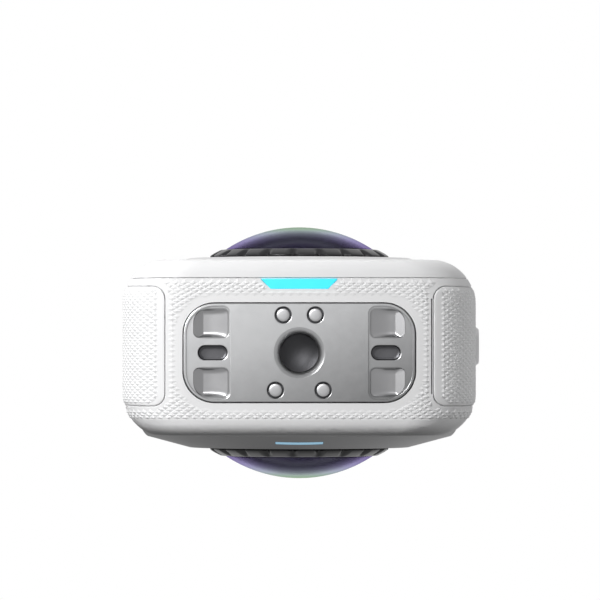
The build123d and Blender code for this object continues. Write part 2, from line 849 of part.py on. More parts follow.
# Port door, hinge and latch
hinge_x = half_width - knuckle_radius
knuckle_y = (-door_front, door_back)
port_door = in_body(side_door(1, hinge_height + door_corner, 0) & box((0, cut_over), everywhere, (-cut_over, hinge_height)))
port_door += in_body(rod("Y", (hinge_x, hinge_height), knuckle_radius, *knuckle_y))
port_door -= rod("Y", (hinge_x, hinge_height), pin_radius + slip, *knuckle_y)
pin_y = (-door_front - gap - pin_bite, door_back + gap + pin_bite)
port_hinge_pin = rod("Y", (hinge_x, hinge_height), pin_radius, *pin_y)

port_bay_y = (-port_bay_front, port_bay_back)
port_bay_z = (port_centre_height - port_bay_height / 2, port_centre_height + port_bay_height / 2)
port_gasket_y = framed(port_bay_y, -gasket_out)
port_gasket_z = framed(port_bay_z, -gasket_out)
port_door -= gasket_frame(port_gasket_y, port_gasket_z, slip, door_face, door_face + gasket)
port_door_seal = gasket_frame(port_gasket_y, port_gasket_z, 0, door_seat + slip, door_face + gasket - slip)

latch_y = (-latch_front, latch_back)
latch_middle = (latch_back - latch_front) / 2
latch_neck_y = (latch_middle - latch_neck_width / 2, latch_middle + latch_neck_width / 2)
foot_y = (latch_middle - latch_foot_width / 2, latch_middle + latch_foot_width / 2)
foot_x = (cavity_half - gap - latch_foot_thick, cavity_half - gap)
latch_cap_x = (half_width + slip, half_width + latch_proud)
latch_cap_z = (latch_cap_low, latch_cap_high)
latch_round = (latch_back + latch_front) / 2 / 2
port_latch = pad("X", latch_y, latch_cap_z, latch_round, *latch_cap_x)
port_latch += box((foot_x[0], latch_cap_x[0]), latch_neck_y, (latch_neck_low, latch_neck_high))
port_latch += box(foot_x, foot_y, (latch_foot_low, latch_neck_high))
latch_cap_middle = (latch_cap_low + latch_cap_high) / 2
for i in range(rib_count):
    low = latch_cap_middle + (i - rib_count / 2) * rib_pitch
    port_latch -= box((latch_cap_x[1] - rib_height, latch_cap_x[1]), framed(latch_y, gap), (low, low + rib_width))
port_door -= box((door_seat, cut_over), framed(latch_neck_y, -gap),
                 (latch_neck_low - latch_travel - gap, latch_neck_high + gap))
latch_window = box((cavity_half - gap, half_width), framed(foot_y, -gap * 2),
                   (latch_foot_low - gap * 2, latch_neck_high + gap * 2))

# Sockets behind the port door
usb_y = (-usb_front, -usb_front + usb_width)
usb_z = (port_centre_height - usb_height / 2, port_centre_height + usb_height / 2)
usb_x = (port_floor - usb_length, port_floor)
usb_round = usb_width / 2 - press_gap
usb_socket = pad("X", usb_y, usb_z, usb_round, *usb_x)
usb_socket -= box((usb_x[0] + usb_wall, usb_x[1]), framed(usb_y, usb_wall), framed(usb_z, usb_round))
usb_middle = (usb_y[0] + usb_y[1]) / 2
usb_socket += box((usb_x[0], usb_x[1] - usb_tongue_short),
                  (usb_middle - usb_tongue_width / 2, usb_middle + usb_tongue_width / 2),
                  (port_centre_height - usb_tongue_height / 2, port_centre_height + usb_tongue_height / 2))

board_y = (usb_y[1] + slip, usb_y[1] + slip + port_board_thick)
reader_y = (board_y[1] + slip, board_y[1] + slip + card_thick + reader_wall_y * 2)
card_y = framed(reader_y, reader_wall_y)
card_z = (port_centre_height - card_height / 2, port_centre_height + card_height / 2)
memory_card = box(card_x, card_y, card_z)
card_slot_y, card_slot_z = framed(card_y, -gap), framed(card_z, -gap)
card_reader = box(reader_x, reader_y, framed(card_z, -reader_wall_z - gap))
card_reader -= box((card_x[0] - card_push - slip, card_x[1]), card_slot_y, card_slot_z)
board_back_x = port_floor - port_bay_wall - gap
port_board = box((reader_x[0], board_back_x), board_y, (port_board_low, port_board_low + port_board_height))

# Boards, cooling, sound
main_board = box((-board_half, board_half), (board_front, board_front + board_thick), (board_low, board_high))
shield_y = (board_front - slip - shield_thick, board_front - slip)
processor_shield = box((-shield_left, shield_right), shield_y, (shield_low, shield_high))
heat_spreader = box((-shield_left - spreader_margin, shield_right + spreader_margin),
                    (frame_half_thick + slip, shield_y[0] - slip),
                    (shield_low - spreader_margin / 2, frame_low + spreader_overlap))
speaker = box((speaker_from, cavity_half - slip), (-speaker_front, speaker_back), (speaker_low, speaker_high))
speaker_middle_y = (speaker_back - speaker_front) / 2
speaker_middle_z = (speaker_low + speaker_high) / 2
mic_y = (side_middle_y - mic_width / 2, side_middle_y + mic_width / 2)
left_mic = box((-cavity_half + slip, -cavity_half + slip + mic_thick), mic_y,
               (mic_height - mic_length / 2, mic_height + mic_length / 2))
top_mic_y = (mic_top_y - mic_width / 2, mic_top_y + mic_width / 2)
top_mic = box((-mic_length / 2, mic_length / 2), top_mic_y, (cavity_high - slip - mic_thick, cavity_high - slip))

# Inner frame between the two lens blocks
frame_slack = gap * 2
frame_outline = outline(
    0, cavity_half - frame_slack, cavity_low, cavity_high - frame_slack,
    base_corner - side_wall, top_corner - side_wall - frame_slack
)
internal_frame = slab(frame_outline, -frame_half_thick, frame_half_thick)
internal_frame = internal_frame & box(everywhere, everywhere, (frame_low, body_top))


def post(x, z, half, start):
    """A square moulded post that stands on the rear wall."""
    return box((x - half, x + half), (start, cavity_back + slip), (z - half, z + half))


def square_hole(x, z, start, end):
    """A square hole whose flats just clear a screw's shank."""
    half = screw_radius + press_gap
    return box((x - half, x + half), (start, end), (z - half, z + half))


for x, z in post_places:
    internal_frame -= square_hole(x, z, -frame_half_thick, frame_half_thick)
housing_screws = [
    screw("Y", place, screw_radius, screw_head_radius, screw_bite, -frame_half_thick - slip, screw_head)
    for place in post_places
]

# Main housing
main_housing = body - ahead
main_housing -= slab(cavity_outline, -parting_depth - slip, cavity_back)
main_housing -= rod("Y", (0, lens_height), chamber_radius, 0, chamber_depth)
main_housing -= rod("Y", (0, lens_height), guard_hole_radius, 0, boss_depth)
seam = slab(body_section(0), -parting_depth, -parting_depth + seam_width)
main_housing -= seam - slab(body_section(-parting_depth, seam_depth, 0), -parting_depth, -parting_depth + seam_width)
# hinge pad, port bay box, screw posts
pad_y = (-door_front - gap - hinge_pad_end, door_back + gap + hinge_pad_end)
hinge_block = rod("Y", (hinge_x, hinge_height), knuckle_radius + gap + hinge_pad, *pad_y)
main_housing += hinge_block & box((0, cavity_half + slip), everywhere, tall)
main_housing += box((port_floor - port_bay_wall, door_seat), framed(port_bay_y, -port_bay_wall),
                    framed(port_bay_z, -port_bay_wall))
for x, z in post_places:
    main_housing += post(x, z, post_half, frame_half_thick)
    main_housing -= square_hole(x, z, frame_half_thick, screw_bite + slip)
for x, z in board_post_places:
    main_housing += post(x, z, board_post_half, board_front + board_thick)
# doors
main_housing -= side_door(-1, cover_top, gap)
main_housing -= side_door(1, hinge_height + door_corner, gap) & box((0, cut_over), everywhere, (-cut_over, hinge_height))
main_housing -= box((door_inner - gap - door_shadow, door_inner), framed(knuckle_y, door_corner),
                    (-cut_over, body_low + door_thick + gap))
main_housing -= rod("Y", (hinge_x, hinge_height), knuckle_radius + gap, *framed(knuckle_y, -gap))
main_housing -= box((hinge_x, cut_over), framed(knuckle_y, -gap), (hinge_height, hinge_height + knuckle_radius + hinge_over))
main_housing -= peg("Y", (hinge_x, hinge_height), pin_radius + press_gap, *pin_y)
main_housing -= pad("X", port_bay_y, port_bay_z, port_bay_corner, port_floor, door_face)
main_housing -= box((0, door_seat), framed(usb_y, -press_gap), framed(usb_z, -press_gap))
main_housing -= box((0, port_floor + slip), card_slot_y, card_slot_z)
main_housing -= latch_window
main_housing -= box((-half_width, -cavity_half + slip), bay_y, bay_z)
latch_room_y = framed(tongue_y, -gap)
latch_room_z = (bat_tongue_low - gap * 2, cover_top + gap)
main_housing -= box((-door_face, -cavity_half + slip), latch_room_y, latch_room_z)
main_housing -= box((tongue_x[0] - slip, tongue_x[1] + slip), latch_room_y,
                    (latch_room_z[0], bat_tongue_high + bat_latch_travel + gap))
# base: tripod plate and light
plate_seat = Pos(0, 0, 0) * extrude(plate_outline(-gap), plate_thick + slip)
main_housing -= plate_seat
main_housing -= rod("Z", (0, 0), boss_outer_radius + gap, 0, boss_top)
main_housing -= front_light(slip, body_low + light_thick + slip)
main_housing -= rear_light(slip)
# screen and buttons
main_housing -= pad("Y", framed(glass_x, -gap), framed(glass_z, -gap), screen_corner, glass_back, boss_depth)
main_housing -= pad("Y", framed(glass_x, screen_ledge), framed(glass_z, screen_ledge), screen_corner - screen_ledge,
                    cavity_back - slip, back_depth)
for height in side_button_places.values():
    hole = side_button_pairs(height, gap)
    main_housing -= pad("X", *hole, side_button_width / 2, cavity_half, half_width)
for x in rear_button_places.values():
    hole = rear_button_pairs(x, gap)
    main_housing -= pad("Y", *hole, rear_button_height / 2, cavity_back, back_depth)
# sound
for i in range(speaker_slot_count):
    z = speaker_middle_z + (i - (speaker_slot_count - 1) / 2) * speaker_slot_pitch
    length = (speaker_middle_y - speaker_slot_length / 2, speaker_middle_y + speaker_slot_length / 2)
    main_housing -= box((cavity_half, half_width), length, (z - speaker_slot / 2, z + speaker_slot / 2))
mic_edge = (-mic_hole / 2, mic_hole / 2)
main_housing -= box((-half_width, -cavity_half), framed((side_middle_y, side_middle_y), -mic_hole / 2),
                    framed((mic_height, mic_height), -mic_hole / 2))
main_housing -= box(mic_edge, framed((mic_top_y, mic_top_y), -mic_hole / 2), (cavity_high, body_top))

# Front cover
front_cover = in_body(ahead)
cover_cavity = outline(
    0, cavity_half - cover_rim_wall, cavity_low + cover_rim_wall, cavity_high - cover_rim_wall,
    base_corner - side_wall - cover_rim_wall, top_corner - side_wall - cover_rim_wall
)
front_cover -= slab(cover_cavity, -front_depth + face_wall, -parting_depth)
front_cover -= rod("Y", (0, lens_height), chamber_radius, -chamber_depth, -parting_depth)
front_cover -= rod("Y", (0, lens_height), guard_hole_radius, -boss_depth, -parting_depth)

nodes = {
    "main_housing": main_housing,
    "front_cover": front_cover,
    "mount_plate": mount_plate(),
    "mount_plate_magnets": magnets,
    "front_status_light": Pos(0, 0, plate_proud - slip) * front_light(0, light_thick),
    "rear_status_light": in_body(rear_light(0)),
    "screen_glass": screen_glass,
    "screen_panel": screen_panel,
    "internal_frame": internal_frame,
    "housing_screws": housing_screws,
    "battery_tray": battery_tray,
    "battery_contacts": battery_contacts,
    "main_board": main_board,
    "processor_shield": processor_shield,
    "heat_spreader": heat_spreader,
    "speaker": speaker,
    "microphones": [left_mic, top_mic],
    "usb_socket": usb_socket,
    "card_reader": card_reader,
    "port_board": port_board,
    "side_button_board": side_button_board,
    "rear_button_board": rear_button_board,
    "port_hinge_pin": port_hinge_pin,
    "battery_pack": battery_pack,
    "battery_cover": battery_cover,
    "battery_seal": battery_seal,
    "battery_latch": battery_latch,
    "port_door": port_door,
    "port_door_seal": port_door_seal,
    "port_latch": port_latch,
    "memory_card": memory_card,
}
nodes.update(buttons)
nodes.update(lens_parts(-1, "front"))
nodes.update(lens_parts(1, "rear"))

for name, shape in nodes.items():
    solids = shape if isinstance(shape, list) else [shape]
    solids = [solid for item in solids for solid in item.solids()]
    whole = solids[0] if len(solids) == 1 else Compound(children=solids)
    export_step(whole, os.path.join("parts", name + ".step"))
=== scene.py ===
import json
import math

import bmesh
import bpy
import numpy as np
from mathutils import Matrix, Vector
from mathutils.geometry import tessellate_polygon


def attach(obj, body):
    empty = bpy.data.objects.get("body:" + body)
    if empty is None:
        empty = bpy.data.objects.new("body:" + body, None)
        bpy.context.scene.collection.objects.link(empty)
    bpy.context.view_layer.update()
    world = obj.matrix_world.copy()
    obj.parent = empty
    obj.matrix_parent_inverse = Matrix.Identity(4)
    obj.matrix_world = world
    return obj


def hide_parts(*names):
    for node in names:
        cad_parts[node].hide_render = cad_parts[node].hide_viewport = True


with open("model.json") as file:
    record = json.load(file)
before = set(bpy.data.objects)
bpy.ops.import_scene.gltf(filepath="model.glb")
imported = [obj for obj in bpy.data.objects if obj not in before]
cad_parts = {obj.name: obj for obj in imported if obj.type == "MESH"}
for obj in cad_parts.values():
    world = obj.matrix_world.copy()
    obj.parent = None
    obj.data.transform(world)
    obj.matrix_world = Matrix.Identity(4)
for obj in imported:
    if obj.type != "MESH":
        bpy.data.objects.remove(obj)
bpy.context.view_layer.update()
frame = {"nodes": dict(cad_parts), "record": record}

# Sizes repeated from the part's source, in millimetres
HALF_WIDTH = 22.9
BASE = 0.15
SIDE_ROUND = 5.7
FRONT_ARC, BACK_ARC = 6.4, 5.3
PARTING, RIM = 9.7, 8.65
BASE_CORNER, CORNER_SHRINK = 8.0, 0.35
LENS_HEIGHT = 91.0
DOOR_X, DOOR_ROUND = 17.3, 1.6
DOOR_FRONT, DOOR_BACK = -8.55, 6.9
BATTERY_COVER_TOP, PORT_HINGE = 60.0, 36.0
SIDE_MIDDLE = -0.825
SIDE_BUTTONS, BUTTON_LONG, BUTTON_WIDE = (50.0, 62.0), 8.6, 3.0
PLATE_HALF_LONG, PLATE_HALF_WIDE, PLATE_CORNER, PLATE_THICK = 14.9, 6.35, 4.0, 2.0
STUDS = ((-2.07, -4.85), (2.07, -4.85), (-3.07, 4.82), (3.07, 4.82))
LAND, POCKET, BORE = 0.4, 1.1, 2.5
ELEMENT_TOP, ELEMENT_SPHERE, ELEMENT_RADIUS = 16.4, 10.5, 8.2

# Sizes of the scene's own details, in millimetres
GRIP_HEIGHT, GRIP_END = 0.12, 99.0
LATTICE_LONG, LATTICE_SHORT = 0.585, 0.3336
LIGHT_FRONT, LIGHT_BACK = -9.52, -8.22
PITCH, THREAD_START, THREAD_END = 1.27, 0.80, 5.4

turn = 2 * math.pi
quarter_turn = math.pi / 2
FLAT, QUARTER = HALF_WIDTH - BASE_CORNER, BASE_CORNER * quarter_turn


# Meshes

def quads(rows, cols, ring_rows=False, ring_cols=False):
    """Corner numbers of the quads of a rows by cols grid; a ring joins its last line to its first."""
    i = np.arange(rows if ring_rows else rows - 1)[:, None]
    j = np.arange(cols if ring_cols else cols - 1)[None, :]
    a, b = i * cols + j, i * cols + (j + 1) % cols
    c, d = ((i + 1) % rows) * cols + (j + 1) % cols, ((i + 1) % rows) * cols + j
    return np.stack(np.broadcast_arrays(a, b, c, d), -1).reshape(-1, 4)


def signed_volume(points, faces):
    """Six times the volume inside a closed mesh, from the triple product of each face's fan."""
    total = 0.0
    for k in range(1, faces.shape[1] - 1):
        a, b, c = points[faces[:, 0]], points[faces[:, k]], points[faces[:, k + 1]]
        total += np.einsum("ij,ij->i", a, np.cross(b, c)).sum()
    return total


def make_piece(name, points, faces, body, material, smooth=True, closed=True):
    """A mesh from points in millimetres and face corners. A closed one is turned to face outwards."""
    points = np.asarray(points, float).reshape(-1, 3)
    groups = faces if isinstance(faces, list) else [faces]
    if closed and sum(signed_volume(points, g) for g in groups) < 0:
        groups = [g[:, ::-1] for g in groups]
    mesh = bpy.data.meshes.new(name)
    mesh.from_pydata((points * 0.001).tolist(), [], [row for g in groups for row in g.tolist()])
    mesh.polygons.foreach_set("use_smooth", np.full(len(mesh.polygons), smooth))
    mesh.validate()
    piece = bpy.data.objects.new(name, mesh)
    bpy.context.scene.collection.objects.link(piece)
    mesh.materials.append(material)
    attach(piece, body)
    return piece


def turned_solid(profile, side, steps=192):
    """An open outline that starts and ends on the lens axis, turned round it, with a fan at each pole."""
    profile = np.asarray(profile, float)
    angle = np.linspace(0, turn, steps, endpoint=False)
    inner = profile[1:-1]
    r, d = inner[:, 0][:, None], inner[:, 1][:, None]
    points = np.stack(np.broadcast_arrays(r * np.cos(angle), side * d, LENS_HEIGHT + r * np.sin(angle)), -1)
    points = points.reshape(-1, 3)
    poles = [[0, side * profile[0, 1], LENS_HEIGHT], [0, side * profile[-1, 1], LENS_HEIGHT]]
    first, last = len(points), len(points) + 1
    j = np.arange(steps)
    after = (j + 1) % steps
    start = np.stack([np.full(steps, first), after, j], -1)
    row = (len(inner) - 1) * steps
    finish = np.stack([np.full(steps, last), row + j, row + after], -1)
    return np.vstack([points, poles]), [quads(len(inner), steps, ring_cols=True), start, finish]


def arc_points(centre, radius, start_deg, end_deg, count):
    """Points on an arc, in the plane of radius and depth."""
    a = np.radians(np.linspace(start_deg, end_deg, count))
    return np.stack([centre[0] + radius * np.cos(a), centre[1] + radius * np.sin(a)], -1)


# Materials

def finish(name, colour, roughness=0.5, metallic=0.0, **sockets):
    """A principled material; returns it with its tree and shader for more nodes."""
    material = bpy.data.materials.new(name)
    material.use_nodes = True
    tree = material.node_tree
    shader = tree.nodes["Principled BSDF"]
    shader.inputs["Base Color"].default_value = (*colour, 1)
    shader.inputs["Roughness"].default_value = roughness
    shader.inputs["Metallic"].default_value = metallic
    for key, value in sockets.items():
        shader.inputs[key.replace("_", " ")].default_value = value
    return material, tree, shader


def node(tree, kind, **values):
    """A new node; each value goes to the input of that name, or else to the node's own setting."""
    made = tree.nodes.new(kind)
    for key, value in values.items():
        socket = key.replace("_", " ")
        if socket in made.inputs:
            made.inputs[socket].default_value = value
        else:
            setattr(made, key, value)
    return made


def place_of(tree, scale=(1, 1, 1)):
    """Object coordinates, stretched."""
    place = node(tree, "ShaderNodeTexCoord")
    mapping = node(tree, "ShaderNodeMapping", Scale=scale)
    tree.links.new(place.outputs["Object"], mapping.inputs["Vector"])
    return mapping.outputs["Vector"]


def combined(tree, operation, first, second):
    """The outcome of a math node; each side is a number or another node's output."""
    made = node(tree, "ShaderNodeMath", operation=operation)
    for socket, side in zip(made.inputs, (first, second)):
        if isinstance(side, float):
            socket.default_value = side
        else:
            tree.links.new(side, socket)
    return made.outputs[0]


def mixed(tree, share, first, second):
    """One shader over another, by a share."""
    blend = node(tree, "ShaderNodeMixShader")
    for socket, source in zip(blend.inputs, (share, first.outputs[0], second.outputs[0])):
        tree.links.new(source, socket)
    return blend


def noise_of(tree, scale, detail, stretch=(1, 1, 1)):
    """The value of a soft noise on Object coordinates."""
    noise = node(tree, "ShaderNodeTexNoise", Scale=scale, Detail=detail)
    tree.links.new(place_of(tree, stretch), noise.inputs["Vector"])
    return noise.outputs["Fac"]


def tone_ramp(tree, value, steps):
    """A colour ramp through pairs of position and colour, fed by a value."""
    ramp = node(tree, "ShaderNodeValToRGB")
    elements = ramp.color_ramp.elements
    while len(elements) < len(steps):
        elements.new(0.5)
    for element, (position, colour) in zip(elements, steps):
        element.position, element.color = position, (*colour, 1)
    tree.links.new(value, ramp.inputs["Fac"])
    return ramp.outputs["Color"]


def grain(tree, shader, scale, depth, detail=4.0, stretch=(1, 1, 1)):
    """A fine bump from noise; depth in metres."""
    bump = node(tree, "ShaderNodeBump", Strength=1.0, Distance=depth)
    tree.links.new(noise_of(tree, scale, detail, stretch), bump.inputs["Height"])
    tree.links.new(bump.outputs["Normal"], shader.inputs["Normal"])


def mottle(tree, shader, scale, dark, light, detail=3.0, stretch=(1, 1, 1), low=0.35, high=0.65):
    """The colour drifts between two tones with a soft noise."""
    tone = tone_ramp(tree, noise_of(tree, scale, detail, stretch), ((low, dark), (high, light)))
    tree.links.new(tone, shader.inputs["Base Color"])


def uneven_gloss(tree, shader, scale, smooth, rough, detail=3.0, stretch=(1, 1, 1)):
    """Roughness between two values with a soft noise, as handling leaves it."""
    spread = node(tree, "ShaderNodeMapRange", To_Min=smooth, To_Max=rough)
    tree.links.new(noise_of(tree, scale, detail, stretch), spread.inputs["Value"])
    tree.links.new(spread.outputs["Result"], shader.inputs["Roughness"])


def moulded(name, tone, rough=(0.42, 0.55), grain_depth=0.000012, tint=0.985, coat=0.0, shine=0.5):
    """Moulded plastic: a fine spark-eroded grain, slight unevenness of tone and gloss."""
    material, tree, shader = finish(name, tone, sum(rough) / 2, Coat_Weight=coat, Specular_IOR_Level=shine)
    mottle(tree, shader, 90, tuple(c * tint for c in tone), tone)
    grain(tree, shader, 5200, grain_depth)
    uneven_gloss(tree, shader, 240, *rough)
    return material


def metal(name, tone, rough, grain_depth, scale=4200, stretch=(1, 1, 1)):
    """Blasted or drawn metal: a fine pitted grain, uneven polish and slight tone drift."""
    material, tree, shader = finish(name, tone, sum(rough) / 2, 1.0)
    mottle(tree, shader, 160, tuple(c * 0.93 for c in tone), tone, stretch=stretch)
    grain(tree, shader, scale, grain_depth, stretch=stretch)
    uneven_gloss(tree, shader, 600, *rough, stretch=stretch)
    return material


def satin_plate():
    """Blasted alloy under a clear finish. Its colour is painted lighter from the rear right corner to the
    front left one, a painted gradient of light, over a fine blasted grain and uneven polish."""
    material, tree, shader = finish("plate_satin_painted_light", (0.3, 0.3, 0.305), 0.31, 1.0)
    link = tree.links.new
    place = node(tree, "ShaderNodeTexCoord")
    # painted light: the colour rises along this direction, towards the front left, as a painted gradient of
    # the lamps' light; the noise stirs it only a little
    across = node(tree, "ShaderNodeVectorMath", operation="DOT_PRODUCT")
    across.inputs[1].default_value = (-350, -940, 0)
    link(place.outputs["Object"], across.inputs[0])
    shifted = node(tree, "ShaderNodeMath", operation="MULTIPLY_ADD")
    shifted.inputs[1].default_value = 2.4
    link(noise_of(tree, 900.0, 4.0), shifted.inputs[0])
    link(across.outputs["Value"], shifted.inputs[2])
    share = node(tree, "ShaderNodeMapRange", From_Min=-8.0, From_Max=10.5)
    link(shifted.outputs[0], share.inputs["Value"])
    tones = ((0.0, 0.165), (0.35, 0.255), (0.65, 0.335), (1.0, 0.355))
    steps = [(position, (tone, tone * 1.006, tone * 1.02)) for position, tone in tones]
    link(tone_ramp(tree, share.outputs["Result"], steps), shader.inputs["Base Color"])
    grain(tree, shader, 4200, 0.000005)
    uneven_gloss(tree, shader, 600, 0.28, 0.34)
    return material


white = (0.80, 0.80, 0.805)
shell_white = moulded("shell_white", white, shine=0.0)
# painted shade: the front cover's white is set darker than the shell's, so that its bevel renders dimmer than
# the lamps leave it
cover_white_shaded = moulded("cover_white_shaded", (0.74, 0.74, 0.745), (0.34, 0.42), 0.000004, shine=0.05)
grip_white = moulded("grip_white", white, (0.5, 0.62), 0.00001, shine=0.0)
button_white = moulded("button_white", (0.78, 0.78, 0.785), (0.35, 0.45), 0.000006)
plate_satin_painted_light = satin_plate()
# painted shade: a plain metal tone, darker than the plate around the pockets, standing in for the shade in
# these recesses
pocket_painted_shade = metal("pocket_painted_shade", (0.25, 0.25, 0.255), (0.28, 0.34), 0.000005)
# painted shade: a near-black metal for the thread, the hole's tip and the floors of the slots and stud wells,
# standing in for the shade deep in these holes
bore_painted_shade = metal("bore_painted_shade", (0.080, 0.080, 0.085), (0.40, 0.55), 0.000008)
stud_steel = metal("stud_steel", (0.30, 0.30, 0.305), (0.34, 0.44), 0.000004)
screw_steel = metal("screw_steel", (0.50, 0.50, 0.52), (0.22, 0.35), 0.000003)
tin = metal("shield_tin", (0.66, 0.67, 0.68), (0.25, 0.4), 0.000004, 1800, (1, 1, 6))
alloy = metal("cast_alloy", (0.50, 0.51, 0.52), (0.42, 0.58), 0.00002, 1500)
gold = metal("contact_gold", (0.80, 0.55, 0.22), (0.2, 0.32), 0.000002)
dark_plastic = moulded("dark_plastic", (0.030, 0.030, 0.033), (0.5, 0.65), 0.00001, 0.8)
grey_plastic = moulded("grey_plastic", (0.22, 0.22, 0.23), (0.45, 0.6), 0.00001, 0.9)
rubber_grey = moulded("rubber_grey", (0.13, 0.13, 0.135), (0.7, 0.85), 0.00002, 0.85)
rubber_black = moulded("rubber_black", (0.018, 0.018, 0.018), (0.7, 0.85), 0.00002, 0.8)
lens_black = moulded("lens_black", (0.016, 0.016, 0.018), (0.26, 0.36), 0.000004, 0.8, shine=0.3)


def circuit_board():
    """Solder resist over copper tracks: a grid of paler lines under a satin coat, over a fine noise bump."""
    material, tree, shader = finish("board_green", (0.01, 0.10, 0.045), 0.35, Coat_Weight=0.3)
    bricks = node(tree, "ShaderNodeTexBrick", Scale=420.0, offset=0.5, Color1=(0.008, 0.085, 0.04, 1),
                  Color2=(0.012, 0.11, 0.05, 1), Mortar=(0.03, 0.20, 0.09, 1), Mortar_Size=0.03)
    tree.links.new(place_of(tree), bricks.inputs["Vector"])
    tree.links.new(bricks.outputs["Color"], shader.inputs["Base Color"])
    grain(tree, shader, 3000, 0.000006)
    return material


def light_guide(name, dim, bright, strength):
    """A frosted light guide, lit evenly from within, its glow drifting slightly with a soft noise."""
    material, tree, shader = finish(name, bright, 0.35)
    tone = tone_ramp(tree, noise_of(tree, 500.0, 2.0), ((0, dim), (1, bright)))
    tree.links.new(tone, shader.inputs["Emission Color"])
    shader.inputs["Emission Strength"].default_value = strength
    shader.inputs["Base Color"].default_value = (*(c * 0.25 for c in bright), 1)
    grain(tree, shader, 3000, 0.000004)
    return material


def coated_glass():
    """Smoked guard glass. It bends light and darkens it at each surface. Over it lies the reflection of
    its film: faint straight on and strong aslant, green over the middle and violet at the foot."""
    material, tree, shader = finish("guard_glass", (0.5, 0.5, 0.5), 0.0)
    link = tree.links.new
    tree.nodes.remove(shader)
    through = node(tree, "ShaderNodeBsdfRefraction", IOR=1.45, Roughness=0.0, Color=(0.47, 0.475, 0.50, 1))
    place = node(tree, "ShaderNodeTexCoord")
    centred = node(tree, "ShaderNodeMapping", Location=(0, 0, -LENS_HEIGHT * 0.001))
    link(place.outputs["Object"], centred.inputs["Vector"])
    flattened = node(tree, "ShaderNodeVectorMath", operation="MULTIPLY")
    flattened.inputs[1].default_value = (1000, 0, 1000)
    link(centred.outputs["Vector"], flattened.inputs[0])
    reach = node(tree, "ShaderNodeVectorMath", operation="LENGTH")
    link(flattened.outputs["Vector"], reach.inputs[0])
    share = node(tree, "ShaderNodeMapRange", From_Max=11.0)
    link(reach.outputs["Value"], share.inputs["Value"])
    tones = ((0.0, (0.34, 0.47, 0.30)), (0.34, (0.34, 0.46, 0.36)), (0.58, (0.40, 0.44, 0.52)),
             (0.80, (0.32, 0.29, 0.50)), (1.0, (0.22, 0.17, 0.38)))
    gloss = node(tree, "ShaderNodeBsdfGlossy", Roughness=0.04)
    link(tone_ramp(tree, share.outputs["Result"], tones), gloss.inputs["Color"])
    facing = node(tree, "ShaderNodeLayerWeight", Blend=0.5)
    levels = ((0.0, 0.09), (0.45, 0.04), (0.585, 0.06), (0.642, 0.18), (0.713, 0.42), (0.80, 0.95),
              (0.95, 0.9), (1.0, 0.5))
    steps = [(position, (level,) * 3) for position, level in levels]
    blend = mixed(tree, tone_ramp(tree, facing.outputs["Facing"], steps), through, gloss)
    link(blend.outputs[0], tree.nodes["Material Output"].inputs["Surface"])
    return material


def element_glass():
    """The dark front element: black depth under a film that reflects blue and violet, and a painted sheen
    aslant.
    """
    material, tree, shader = finish("element_glass", (0.006, 0.006, 0.012), 0.02, IOR=1.7,
                                    Coat_Weight=1.0, Coat_Roughness=0.02)
    shader.inputs["Thin Film Thickness"].default_value = 420.0
    shader.inputs["Thin Film IOR"].default_value = 1.38
    facing = node(tree, "ShaderNodeLayerWeight", Blend=0.35)
    # painted sheen: the colour rises from near black face on to a dim violet where the surface is seen aslant
    painted_sheen = ((0, (0.004, 0.005, 0.010)), (1, (0.045, 0.035, 0.090)))
    tree.links.new(tone_ramp(tree, facing.outputs["Facing"], painted_sheen), shader.inputs["Base Color"])
    return material


def screen_finish():
    """Black screen glass with a faint drift of gloss, as a wiped touchscreen has."""
    material, tree, shader = finish("screen_black", (0.006, 0.006, 0.008), 0.06, Specular_IOR_Level=0.3)
    mottle(tree, shader, 60, (0.004, 0.004, 0.006), (0.009, 0.009, 0.012))
    uneven_gloss(tree, shader, 120, 0.03, 0.10)
    return material


board_green = circuit_board()
cyan_light = light_guide("cyan_light", (0.025, 0.66, 0.86), (0.035, 0.74, 0.92), 1.0)
rear_light_blue = light_guide("rear_light_blue", (0.09, 0.27, 0.40), (0.11, 0.32, 0.47), 0.9)
guard_glass = coated_glass()
eye_glass = element_glass()
screen_black = screen_finish()

slot_finish = {
    "white_shell": shell_white, "white_cover": cover_white_shaded, "plate_metal": plate_satin_painted_light,
    "magnet_steel": stud_steel, "screw_steel": screw_steel, "light_guide_front": cyan_light,
    "light_guide_rear": rear_light_blue, "screen_glass": screen_black, "screen_panel": screen_black,
    "alloy": alloy, "dark_plastic": dark_plastic, "grey_plastic": grey_plastic,
    "board_green": board_green, "shield_tin": tin, "gold_contact": gold, "rubber_grey": rubber_grey,
    "rubber_black": rubber_black, "lens_black": lens_black, "lens_glass": guard_glass,
    "element_glass": eye_glass, "button_white": button_white,
}
for entry in frame["record"]["subparts"]:
    for socket in frame["nodes"][entry["node"]].material_slots:
        socket.material = slot_finish[entry["material_slot"]]


# Grip

def drawn_in(y):
    """How far the sides have turned inwards at a depth: a quarter arc past its start."""
    over = np.where(y < 0, -y - FRONT_ARC, y - BACK_ARC).clip(0)
    return SIDE_ROUND - np.sqrt(SIDE_ROUND**2 - over**2)


